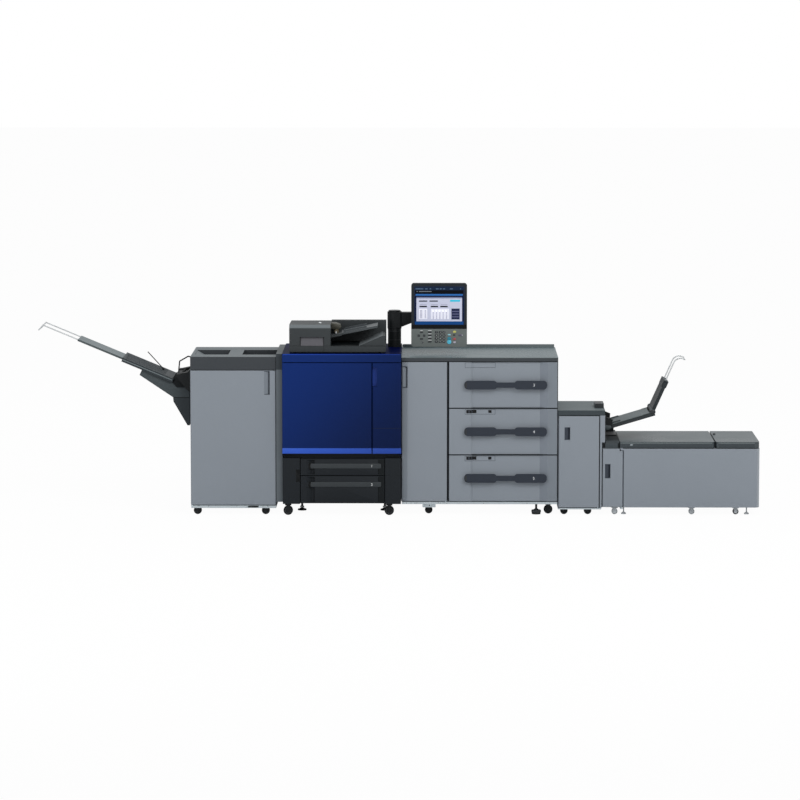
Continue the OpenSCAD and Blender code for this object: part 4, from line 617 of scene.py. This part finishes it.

# worktop's rounded drop edge and the painted light on the front of its lip, and the dark fronts of the banner lids with
# a painted highlight along their top edge
edges = {"drop": 43, "tall": 22, "lip": 18.5, "lipDeep": 22, "lid": 30, "corner": 30, "inner": 16, "outer": 2}
onFront("_edge", "worktop", [spot("worktop", 1, -1, -edges["drop"], edges["tall"] - edges["drop"])],
    [(0, -6), (0, 0), (1.2, 0.8), (4, 1)], 6, slot="band_dark")
# the front of the lip painted lighter, as painted light where the lamps would leave it dark
plates("_lip", "worktop", [spot("worktop", 1, -8, -edges["lip"], -0.5)], frontFace,
    edges["lipDeep"] - box["worktop"][1][1], thin, 4, "edgeGrey")
lidEdge = [(0, -3), (0, 0.3), (1, 0.7)]
for side in ("left", "right"):
    lid = "banner_lid_" + side
    low, high = box[lid]
    left = low[0] + edges["outer" if side == "left" else "inner"]
    right = high[0] - edges["corner" if side == "right" else "inner"]
    foot, head = low[2] + 1, low[2] + edges["lid"]
    onFront("_front", lid, [[left, right, foot, head - 2]], lidEdge, 1.5, "lidFront", slot="lower_black")
    if side == "right":
        plates("_side", lid, [[low[1] + edges["corner"], high[1] - 12, foot, head]], rightFace, high[0],
            lidEdge, 1.5, "lidFront", slot="lower_black")
    # a painted highlight along the lid's rounded front top edge
    onFront("_line", lid, [[left, right, head - 1, head + 4]], [(0, -1), (0, 0.2), (0.4, 0.5)], 1, "edgeGrey")
onFront("lid_mark", "banner_lid_left", [spot("banner_lid_left", 64, 82, 15, 25)],
    [(0, -0.5), (0, 0.4), (0.6, 0.8)], 4.9, "softGrey", 0.7, slot="lower_black")
rightLow, rightHigh = box["banner_lid_right"]
turned("lid_knob", "banner_lid_right", [(rightLow[0] + 16, rightHigh[1] - 190, rightHigh[2])], throughZ,
    [(9, -1), (9, 5), (8, 7), (6, 8), (0.4, 8.2)], 24, "hubBlack", slot="lower_black")
print("edges: worktop and lids")

# door pockets: each gets a floor that curves from the near wall down to the far one, painted darker than the door as
# painted shade of the recess, a right wall in painted shade and end walls; a pocket is left and right from the door's
# low side (high side where end is 1), foot and head from its top, thickness of its end walls, finishes of floor and end
# walls
pocketDeep = 17.5
pockets = {"finisher_door": (1, -74, -38, -155, -3, 4, "silverDeep", "slate"),
    "feeder_door": (0, 3, 35, -164, -28, 4, "silverDeep", "slate"),
    "bypass_door": (0, 37, 73, -166, -59, 13, "slate", "panel_grey"),
    "banner_door": (0, 16, 51, -191, -99, 4, "slate", "slate")}
turn = np.linspace(0, np.pi / 2, 9)
for door, (end, left, right, foot, head, wall, floorFinish, endFinish) in pockets.items():
    x0, x1, y0 = box[door][end][0] + left, box[door][end][0] + right, box[door][0][1]
    z0, z1 = box[door][1][2] + foot, box[door][1][2] + head
    # floor: a quarter of an ellipse from the left rim to the foot of the right wall
    floorX = x0 + 0.3 + (right - left - 5) * np.sin(turn) * 0.98
    floorY = y0 + 0.8 + (pocketDeep - 1.4) * (1 - np.cos(turn))
    outline = np.concatenate([np.stack([floorX, floorY], -1), [[x1 - 0.3, y0 + pocketDeep - 0.3],
        [x0 + 0.3, y0 + pocketDeep]]])
    outlined("_pocket_liner", door, outline, topFace, [(0, z0 + 0.3), (0, z1 - 0.3)], floorFinish, sharp=50)
    onFront("_pocket_wall", door, [[x1 - 3.4, x1 - 0.2, z0 + 0.3, z1 - 0.3]],
        [(0, -pocketDeep), (0, -1.2), (0.6, -0.6)], 0, "slate", slot="lower_black")
    onFront("_pocket_ends", door, [[x0 + 0.4, x1 - 0.4, z0 + 0.2, z0 + wall],
        [x0 + 0.4, x1 - 0.4, z1 - wall, z1 - 0.2]], [(0, -pocketDeep), (0, -0.6), (0.4, -0.3)], 0, endFinish,
        slot="lower_black")
# painted shade on the feeder door's bevelled left edge, above and below its pocket
onFront("_edge", "feeder_door", [spot("feeder_door", 1, 31, 2, -168), spot("feeder_door", 1, 31, -26, -1)], thin, 1,
    "silverDeep")
print("pockets: %d liners" % len(pockets))

# engine doors: bright strip along the foot, pocket liner, panel joint; a painted highlight on the rim of the top band
strip = {"z0": 402.4, "z1": 437, "rise": 0.3, "joint": 566, "liner": (835.4, 954.6), "rim": (1036.5, 1040.5)}
for side in ("left", "right"):
    door = "engine_%s_door" % side
    low, high = box[door]
    onFront("_strip", door, [[low[0] + 1, high[0] - 1, strip["z0"], strip["z1"]]],
        [(0, -0.5), (0, 0.1), (0.4, strip["rise"])], 0.6, slot="strip_blue")
onFront("_joint", door, [[low[0] + 1, high[0] - 1, strip["joint"] - 1, strip["joint"] + 1]], thin,
    slot="lower_black")
onFront("_liner", door, [[low[0] + 0.3, low[0] + 28.7, *strip["liner"]]],
    [(0, 0.1), (0, 2), (1.5, 0.8), (5, 0.5)], 3, "indigo", -26)
onFront("_rim", "engine_top", [[engineLow[0] + 8, engineHigh[0] - 8, *strip["rim"]]], thin, 0, "rim",
    slot="strip_blue")

# lower body: painted shade of the latch recess, column joint, bar grips of the trays with their numbers
bar = {"left": 63, "right": 20, "low": 1, "high": 33, "rise": 5, "z": {1: 304, 2: 185}, "figure": 22,
    "latch": [-648, -624.5, 219, 298], "joint": (-77, 261, 262.4)}
onFront("latch_recess", "engine_lower_body", [bar["latch"]], [(0, -0.5), (0, 0.4), (1, 0.6)], 2, "pianoBlack")
left, foot, head = bar["joint"]
onFront("column_joint", "engine_lower_body", [[left, box["engine_lower_body"][1][0] - 1, foot, head]], thin, 0,
    "pianoBlack")
for index, z in bar["z"].items():
    tray = "paper_tray_%d" % index
    low, high = box[tray]
    x0, x1 = low[0] + bar["left"], high[0] - bar["right"]
    onFront("_bar", tray, [[x0, x1, z + bar["low"], z + bar["high"]]],
        [(0, -5), (0, 2), (0.8, 3.8), (2.6, bar["rise"] - 0.3), (6, bar["rise"])], 9, "barGrey", steps=7,
        slot="tray_dark")
    # the middle of the front stands a little proud, and a near black plate at its right end is painted shade in the
    # well there
    onFront("_middle", tray, [spot(tray, 90, -40, 3, -3)], [(0, -0.5), (0, 0.3), (1, 0.8)], 2, "lower_black",
        slot="tray_dark")
    onFront("_well", tray, [spot(tray, -38, -2, 3, -3)], thin, 2, "shadeAndJointBlack", slot="tray_dark")
    # painted shade in the gap at the left end of each bar
    onFront("_bar_end", tray, [[x0 - 13, x0 + 3, z - 2, z + bar["high"] + 3]], [(0, -2), (0, 0.6), (1, 1)], 7,
        "pianoBlack", steps=6, slot="tray_dark")
    numerals("_number", tray, [(str(index), x1 - 60, z + 17)], bar["rise"] + 0.3 - low[1], bar["figure"],
        "#eef0f0", slot="tray_dark")
print("engine: strips, liner, bars")

# finisher: light ramp in the left well of its top, small holes and slot of the skirt, rollers of the exit
finLow, finHigh = box["finisher_top"]
well = {"x0": 22.3, "x1": 92, "y0": 150.5, "y1": 449.5, "deep": 44.6}
x0, x1, floor = finLow[0] + well["x0"], finLow[0] + well["x1"], finHigh[2] - well["deep"]
outlined("finisher_well_ramp", "finisher_top", [[x0, floor], [x1, floor], [x1, floor + 2], [x0, finHigh[2] - 3]],
    frontFace, [(0, -(finLow[1] + well["y1"])), (0, -(finLow[1] + well["y0"]))])
# holes of a skirt: middle and radius of each, then a slot
skirt = {"holes": ((-1279, 57, 2.4), (-1269, 57, 2.4), (-1211, 57, 2.6), (-1029, 57, 2), (-862, 57, 2.4),
    (-835, 57, 2.4), (-826, 56, 2)), "slot": [-958, -890, 49, 58]}
onFront("finisher_skirt_holes", "finisher_base", [[x - r, x + r, z - r, z + r]
    for x, z, r in skirt["holes"]] + [skirt["slot"]], thin, 2.4, "pianoBlack", steps=4, slot="lower_black")
roller = {"x": 38, "z": 892, "inset": 74, "shaft": 3, "radius": 8, "half": 9, "count": 6, "gap": 12}
frameLow, frameHigh = box["exit_frame"]
exitX, exitY = frameLow[0] + roller["x"], (frameLow[1] + roller["inset"], frameHigh[1] - roller["inset"])
turned("exit_roller_shaft", "exit_frame", [(exitX, exitY[0], roller["z"])], throughY,
    [(roller["shaft"], 0), (roller["shaft"], exitY[1] - exitY[0])], 12, slot="wire_steel")
rollerY = np.linspace(exitY[0] + 24, exitY[1] - 24, roller["count"])
rollerY = rollerY[np.abs(rollerY - (exitY[0] + exitY[1]) / 2) > roller["gap"]]


def rollerShape(bore, radius, half, round):
    # profile of a roller: bore, a small bevel, tread, a small bevel, bore
    return [(bore, -half), (radius - round, -half), (radius, round - half), (radius, half - round),
        (radius - round, half), (bore, half)]


turned("exit_rollers", "exit_frame", [(exitX, y, roller["z"]) for y in rollerY], throughY,
    rollerShape(3, roller["radius"], roller["half"], 1), 20, "tyre")

# stack tray: light line along its side, ribs on its bed; the lower cover under it has a paler wing, painted shade in
# the opening above the wing under the tray, and dark joints round it
tray = {"rootX": finLow[0] - 116, "rootZ": 862, "slope": -22.6, "length": 352, "front": 184, "cover": 164,
    "ribs": (-150, 138, 9), "rib": 5, "seam": (-2, 99, 737, 741)}
rootX, origin = tray["rootX"], (tray["rootX"], 0, tray["rootZ"])
plates("_side_line", "stack_tray", [[4 - tray["length"], -6, -15, -9]], slopedFront(tray["slope"]),
    tray["front"], thin, 0.5, "edgeGrey", origin=origin)
plates("_ribs", "stack_tray",
    [[12 - tray["length"], -60, y, y + tray["rib"]] for y in np.linspace(*tray["ribs"])], slopedTop(tray["slope"]),
    0, [(0, -0.5), (0, 0.8), (0.8, 1.4)], 2.5, "stack_tray", origin=origin)
covers = {"wing": ([[-4, 742], [98, 742], [98, 786], [84, 796], [20, 801], [-15, 838], [-199, 916], [-218, 884.5]],
    0.5, "wingGrey"), "mouth": ([[-15, 842], [20, 805], [78, 803], [18, 900], [-8, 862]], 0.3, "shadeAndJointBlack"),
    "joint": ([[-200, 917], [-17, 839], [-17, 845], [-200, 922.5]], 0.3, "shadeAndJointBlack")}
for part, (outline, rise, finish) in covers.items():
    outlined("stack_tray_" + part, "stack_tray", np.array(outline) + [rootX, 0], frontFace,
        [(0, tray["cover"] - 0.5), (0, tray["cover"] + rise / 2), (rise / 2, tray["cover"] + rise)], finish, sharp=50)
plates("_seam", "stack_tray", [tray["seam"]], frontFace, tray["cover"], thin, 0, "shadeAndJointBlack", origin=(rootX, 0, 0))

# document feeder: liner of the finger recess, joint lines, indicator lens, rollers and hood of the throat, rib lines
feedLow, feedHigh = box["document_feeder"]
adf = {"x0": 68.5, "x1": 221.5, "z0": 1087, "z1": 1144, "joint": 1089, "lens": (-499, -170, 1220), "block": 263,
    "slab": -471, "slope": 11.2, "ribs": (-150, -30, 5)}
x0, x1, y0 = feedLow[0] + adf["x0"], feedLow[0] + adf["x1"], feedLow[1]
z0, z1 = adf["z0"], adf["z1"]
outlined("adf_recess_liner", "document_feeder", [[y0 + 2, z0 + 0.5], [y0 + 21.6, z0 + 0.5], [y0 + 21.6, z1 - 1],
    [y0 + 17, z1 - 1], [y0 + 13, z1 - 10], [y0 + 4, z0 + 8]], rightFace, [(0, x0 + 4), (0, x1 - 4)], "thumbGrey",
    sharp=60)
onFront("adf_recess_rim", "document_feeder", lines(x0 - 2, x1 + 2, z0 - 0.5, z1 + 2, 2),
    [(0, -1), (0, 0.1), (0.5, 0.4)], 0, "hubBlack")
onFront("adf_slab_joint", "document_feeder", [[adf["slab"], adf["slab"] + 1.6, feedLow[2] + 2, adf["joint"] - 3]],
    thin, 0, "pianoBlack")
# painted shade on the bed where sheets come out, under the document tray, between the feed block and the sloping stop
feedRight = feedLow[0] + adf["block"]
plates("adf_bed", "document_feeder", [[feedRight + 2, feedHigh[0] - 172, y0 + 6, 20]], topFace, adf["joint"], thin, 3,
    "shadeAndJointBlack")
onFront("adf_joint", "document_feeder", [[feedLow[0] + 1, feedRight, adf["joint"] - 1, adf["joint"] + 0.4],
    [feedRight, feedHigh[0] - 1, adf["joint"] - 3, adf["joint"] - 1.6]], thin, 0, "pianoBlack")
turned("adf_lens", "document_feeder", [adf["lens"]], throughZ, [(10, -2), (10, 2.4), (8.6, 5), (5.5, 6.8),
    (0.4, 7.5)], 28, "lens")
throat = {"x": 34, "z": 1165, "shaft": 4, "length": 300, "back": -250, "radius": 13, "half": 16, "at": (-150, -88, -26)}
throatX = feedRight + throat["x"]
turned("adf_pickup_shaft", "document_feeder", [(throatX, throat["back"], throat["z"])], throughY,
    [(throat["shaft"], 0), (throat["shaft"], throat["length"])], 14, slot="wire_steel")
turned("adf_pickup_rollers", "document_feeder", [(throatX, y, throat["z"]) for y in throat["at"]], throughY,
    rollerShape(4, throat["radius"], throat["half"], 1.5), 28, "throatBrown", slot="black_plastic")
hood = [[-1, 1178], [46, 1178], [62, 1186], [58, 1204], [30, 1214], [-1, 1216]]
outlined("adf_pickup_hood", "document_feeder", np.array(hood) + [feedRight, 0], frontFace,
    [(2, 20), (0, 22), (0, 138), (2, 140)], "throatGrey", sharp=50)
trayLow = box["document_tray"][0]
plates("_ribs", "document_tray", [[20, 150, y, y + 4] for y in np.linspace(*adf["ribs"])],
    slopedTop(adf["slope"]), 0, [(0, -0.5), (0, 0.8), (0.6, 1.4)], 2, "slate",
    origin=(trayLow[0], 0, trayLow[2] + 14.2), slot="tray_dark")
print("feeder on top: recess, lens, rollers")

# bypass cabinet: cover and pin of the raised block on its top, joint line
bypLow, bypHigh = box["bypass_top"]
block = [bypHigh[0] - 61, bypHigh[0] - 3, bypLow[1] + 140, bypLow[1] + 290]
plates("bypass_block_cover", "bypass_top", [block], topFace, bypHigh[2], [(-0.6, -27.5), (-0.6, -1.6), (1, 0.2),
    (4, 0.6)], 5, "hubBlack")
turned("bypass_block_pin", "bypass_top", [(block[1] - 14, block[2] + 22, bypHigh[2])], throughZ,
    [(5, -1), (5, 3), (4, 4.6), (0.4, 5)], 18, "softGrey")
onFront("_joint", "bypass_top", [[bypLow[0] + 2, bypHigh[0] - 2, 643.6, 645]], thin, 0, "pianoBlack")

# bypass tray: bed, side guides, side line, hinge arm and elbow caps, all along its slope from the root
byp = {"x": bypHigh[0] + 30, "z": 552, "slope": 16.6, "front": 187, "length": 298, "half": 12.5, "guides": (-150, 96),
    "drop": 14, "arm": [[-24, -10], [0, -14], [16, -4], [16, 8], [-4, 16], [-26, 30]]}
origin, length = (byp["x"], 0, byp["z"]), byp["length"]
bypFront, bypTop = slopedFront(byp["slope"]), slopedTop(byp["slope"])
plates("_bed", "bypass_tray", [[22, length - 40, -165, 121]], bypTop, byp["half"],
    [(0, -0.5), (0, 0.6), (1.5, 1.2)], 6, "bypass_tray", origin=origin)
for index, y in enumerate(byp["guides"]):
    plates("bypass_side_guide_%d" % index, "bypass_tray", [[24, 84, y, y + 8]], bypTop, byp["half"],
        [(0, 0), (0, 7), (1, 8.4), (2.5, 9)], 3, "wingGrey", origin=origin)
plates("_side_line", "bypass_tray", [[10, length - 66, -4, -1.5]], bypFront, byp["front"], thin, 0,
    "barGrey", origin=origin)
outlined("bypass_hinge_arm", "bypass_bracket", byp["arm"], bypFront, [(1.5, 205), (0, 206.5), (0, 209), (1.5, 210.5)],
    "wingGrey", origin=origin, sharp=50)
c, s = bypFront[0][0], bypFront[0][2]
elbow = (byp["x"] + length * c - byp["drop"] * s, -byp["front"], byp["z"] + length * s + byp["drop"] * c)
turned("bypass_elbow_caps", "bypass_tray", [elbow], (0, -1, 0), [(15, -1), (15, 0.8), (13, 2.2), (0.5, 2.6)], 28,
    "hubBlack")

# transport section: plates along its front and a step on its top
transLow, transHigh = box["transport_section"]
transport = {"foot": 436, "head": 464, "step": 481}
foot, head = transport["foot"], transport["head"]
onFront("transport_front", "transport_section", [[transLow[0] + 24, transHigh[0] - 10, foot, head]],
    [(0, -1), (0, 0.3), (1, 0.8)], 3, "lidFront")
onFront("transport_dark_ends", "transport_section", [[transLow[0] + 2, transLow[0] + 22, foot, head],
    [transHigh[0] - 9, transHigh[0] - 1, foot - 2, head + 2]], thin, 2, "shadeAndJointBlack")

# painted shade in the gaps of the shells: left, right, foot, head, level of the face, depth; dark plates where the gap
# reads black, grey where it is filled
gapShades = [(-779.4, -776, 62, 1016, 327, 2), (317.8, 328.8, 92, 984, 296, 2), (330, 1020, 385.6, 392.4, 323, 29),
    (330, 1020, 685.6, 692.4, 323, 29), (28, 1022, 985.8, 989.6, 324, 30), (1291.6, 1296, 56, 636, 325, 2),
    (1307.6, 1311.9, 60, 428, 325, 2)]
for index, (*rect, level, deep) in enumerate(gapShades):
    plates("dark_seal_%d" % index, "drawer_bay", [rect], frontFace, level, [(0, -deep), (0, 0.1)], 0, "shadeAndJointBlack",
        slot="lower_black")
for name, rect, level, finish in (("banner_door_seal", (1443.4, 1448, 58, 428), 324, "slate"),
    ("banner_top_seal", (1424, 1443, 430.4, 434.6), 326, "silverDeep")):
    plates(name, "banner_housing", [rect], frontFace, level, thin, 0, finish)
plates("transport_step", "transport_section", [[transLow[0] + 28, transHigh[0] - 3, transHigh[1] - 300,
    transHigh[1] - 112]], topFace, transport["step"], [(0, -1), (0, 2.4), (1.5, 4)], 6, "hubBlack")
print("bypass: guides, block, step")


def wheels(unit, node, xs, ys, diameter, tyreFinish="tyre", hubFinish="hubBlack"):
    # tyre ring and hub of each caster: bar profiles in shares of radius and width, turned round the axle
    radius, width = diameter / 2, 22
    tyre = [(0.62, -0.52), (0.9, -0.56), (0.98, -0.45), (1.012, -0.2), (1.012, 0.2), (0.98, 0.45), (0.9, 0.56),
        (0.62, 0.52)]
    hub = [(0.2, -0.6), (0.3, -0.58), (0.34, -0.5), (0.5, -0.46), (0.6, -0.54), (0.63, -0.52), (0.63, 0.52),
        (0.6, 0.54), (0.5, 0.46), (0.34, 0.5), (0.3, 0.58), (0.2, 0.6)]
    for part, shape, finish in (("tyres", tyre, tyreFinish), ("hubs", hub, hubFinish)):
        turned(unit + "_" + part, node, [(x, y, radius) for x in xs for y in ys], throughY,
            [(a * radius, b * width) for a, b in shape], 40, finish, floor=True)


front = finLow[1]
feederLow, feederHigh = box["worktop"]
hopperLow, hopperHigh = box["banner_housing"]
bypW, hopperW = bypHigh[0] - bypLow[0], hopperHigh[0] - hopperLow[0]
bypY = (front + 0.115 * (bypHigh[1] - bypLow[1]), bypHigh[1] - 0.13 * (bypHigh[1] - bypLow[1]))
feederY, hopperY = (front + 87, feederHigh[1] - 80), (front + 60, hopperHigh[1] - 70)
wheels("finisher", "finisher_casters", (finLow[0] + 42, finHigh[0] - 70), (front + 42, finHigh[1] - 70), 51)
wheels("engine", "engine_casters", (engineLow[0] + 35, engineHigh[0] - 77), (engineLow[1] + 60, engineHigh[1] - 70),
    60, "tyre", "hubGrey")
wheels("feeder_right", "feeder_casters", (feederHigh[0] - 59,), feederY, 56)
wheels("feeder_left", "feeder_casters", (feederLow[0] + 176,), feederY, 48)
wheels("bypass", "bypass_casters", (bypLow[0] + 0.14 * bypW, bypLow[0] + 0.645 * bypW), bypY, 48)
wheels("banner_grey", "banner_casters", (hopperLow[0] + 0.085 * hopperW, hopperLow[0] + 0.574 * hopperW), hopperY, 38,
    "caster_light", "caster_light")
wheels("banner_black", "banner_casters", (hopperLow[0] + 0.854 * hopperW,), hopperY, 38)

# feeder's left caster bracket, its hand wheel feet and skirt holes, and lock nuts under the engine
bracket = {"plate": [160, 244, 46, 74], "hole": [201, 208, 55, 62], "front": 300, "rise": 0.3}
plates("feeder_caster_bracket", "feeder_base", [bracket["plate"]], frontFace, bracket["front"],
    [(0, -3), (0, 0), (0.4, bracket["rise"])], 4)
plates("feeder_caster_bracket_hole", "feeder_base", [bracket["hole"]], frontFace, bracket["front"] + bracket["rise"],
    thin, 3.5, "pianoBlack", steps=4)
turned("feeder_foot_wheels", "feeder_casters", [(feederHigh[0] - 136, y, 0)
    for y in (front + 60, feederHigh[1] - 50)], throughZ,
    [(12, 9), (29, 10), (30.5, 12), (30.5, 25), (29, 27), (16, 28), (12, 34), (8, 34)], 24, "hubBlack", sharp=30)
turned("engine_foot_nuts", "engine_casters", [(x, y, 0)
    for x in (engineLow[0] + 117, engineHigh[0] - 108) for y in (engineLow[1] + 277, engineHigh[1] - 46)], throughZ,
    [(12, 18), (13, 18.6), (13, 27.4), (12, 28)], 6, "wire_steel", sharp=20)
skirtHoles = {"radius": 2.2, "at": ((58, 78), (87, 78), (111, 77), (124, 78), (263, 79), (275, 78), (292, 79),
    (304, 79), (317, 77), (551, 77), (830, 77))}
r = skirtHoles["radius"]
onFront("feeder_skirt_holes", "feeder_base", [[x - r, x + r, z - r, z + r] for x, z in skirtHoles["at"]], thin, r,
    "pianoBlack", steps=4, slot="lower_black")
print("wheels, feet and skirts")

# back covers: pressed sheets with rounded corners held by screws, with louvres; each is its node, edge at
# the sides, foot and head, rise, and the louvres' left, right, foot and head as shares of the sheet
backs = {"finisher": ("finisher_housing", 30, 40, 40, 0.9, (0.62, 0.93, 0.72, 0.9)),
    "engine": ("engine_housing", 30, 30, 30, 0.9, (0.06, 0.4, 0.5, 0.86)),
    "feeder_left": ("feeder_cabinet", 20, 30, 30, 0.2, (0.2, 0.8, 0.78, 0.9)),
    "feeder_right": ("drawer_bay", 20, 30, 30, 0.2, (0.7, 0.92, 0.1, 0.3)),
    "bypass": ("bypass_cabinet", 20, 30, 30, 0.9, (0.25, 0.75, 0.68, 0.85)),
    "banner": ("banner_housing", 30, 30, 40, 0.9, (0.05, 0.2, 0.3, 0.7))}
louvre = {"pitch": 14, "tall": 5, "long": 90, "fewest": 3}
screwHead = [(4.2, -0.4), (4.2, 0.1), (3.6, 0.5), (2, 0.7), (0.3, 0.5)]
screws, slots = [], []
for unit, (node, edge, foot, head, rise, (a0, a1, b0, b1)) in backs.items():
    low, high = box[node]
    if unit == "finisher":
        low = low + np.array([10, 0, 0])
    rect = [edge - high[0], -(low[0] + edge), low[2] + foot, high[2] - head]
    plates(unit + "_back_cover", node, [rect], backFace, high[1], [(0, -0.5), (0, rise * 0.6), (0.6, rise)], 8,
        slot="panel_grey")
    w, h = rect[1] - rect[0], rect[3] - rect[2]
    screws += [(-a, high[1] + rise - 0.5, b)
        for a in (rect[0] + 20, rect[0] + w / 2, rect[1] - 20) for b in (rect[2] + 20, rect[3] - 20)]
    rows = max(louvre["fewest"], int((b1 - b0) * h / louvre["pitch"]))
    columns = max(1, int((a1 - a0) * w / louvre["long"]))
    for column in range(columns):
        s0 = rect[0] + w * (a0 + (a1 - a0) * column / columns)
        s1 = rect[0] + w * (a0 + (a1 - a0) * (column + 1) / columns) - louvre["pitch"]
        feet = rect[2] + h * b0 + louvre["pitch"] * np.arange(rows)
        slots += [[s0, s1, z, z + louvre["tall"], high[1] + rise] for z in feet]
slots = np.array(slots)
for index, level in enumerate(np.unique(slots[:, 4])):
    plates("back_louvres_%d" % index, "feeder_cabinet", slots[slots[:, 4] == level][:, :4], backFace, level,
        [(0, -0.3), (0, 0.05)], 2.5, "pianoBlack", steps=4)
turned("back_screws", "feeder_cabinet", screws, throughY, screwHead, 14, slot="wire_steel")
# sockets on the engine's back: each is its place, foot, width and height; power inlet under them
sockets = {"plate": (48, 150, 460, 492), "holes": ((60, 470, 16, 12), (84, 470, 14, 9), (106, 470, 30, 10)),
    "inlet": (64, 110, 130, 168)}
engLow, engHigh = box["engine_housing"]
x0, x1, z0, z1 = sockets["plate"]
plates("engine_socket_plate", "engine_housing", [[-(engLow[0] + x1), -(engLow[0] + x0), z0, z1]], backFace,
    engHigh[1] + 0.9, [(0, -0.3), (0, 0.6), (0.8, 1)], 4, "slate", slot="panel_grey")
plates("engine_sockets", "engine_housing", [[-(engLow[0] + x + w), -(engLow[0] + x), z, z + h]
    for x, z, w, h in sockets["holes"]], backFace, engHigh[1] + 1.9, [(0, -0.5), (0, 0.1)], 1,
    "pianoBlack", slot="lower_black")
x0, x1, z0, z1 = sockets["inlet"]
plates("engine_power_inlet", "engine_lower_body", [[-(engLow[0] + x1), -(engLow[0] + x0), z0, z1]], backFace,
    box["engine_lower_body"][1][1], [(0, -0.5), (0, 1.5), (1, 2), (5, 2), (5.5, -0.3)], 4, "hubBlack")
print("backs: %d screws, %d louvres" % (len(screws), len(slots)))

# end covers at the two ends of the line, and the frame round the scanner's glass
pressed = [(0, -0.5), (0, 0.6), (0.6, 0.9)]
ends = {"finisher": ([205, 292, 90, 880], [-305, -205, 90, 880]), "screwY": (-250, 255), "screwZ": (110, 860),
    "feederFront": -290, "foot": 90, "glass": (-668, -118, -305, 31, 18), "glassTop": 1042}
plates("finisher_side_covers", "finisher_housing", ends["finisher"], leftFace, -finLow[0], pressed, 8)
turned("finisher_side_screws", "finisher_housing", [(finLow[0] - 0.9, y, z)
    for y in ends["screwY"] for z in ends["screwZ"]], (-1, 0, 0), screwHead, 14, slot="wire_steel")
bayHigh = box["drawer_bay"][1]
back, head = bayHigh[1] - 2, bypHigh[2] + 3
plates("feeder_side_covers", "feeder_cabinet", [[ends["feederFront"], back, head, bayHigh[2] - 4],
    [bypHigh[1] + 2, back, ends["foot"], head - 1]], rightFace, bayHigh[0], pressed, 4)
plates("engine_platen_frame", "platen_glass", lines(*ends["glass"]), topFace, ends["glassTop"],
    [(0, -0.5), (0, 1), (0.8, 1.6)], 0, "hubBlack", slot="lower_black")
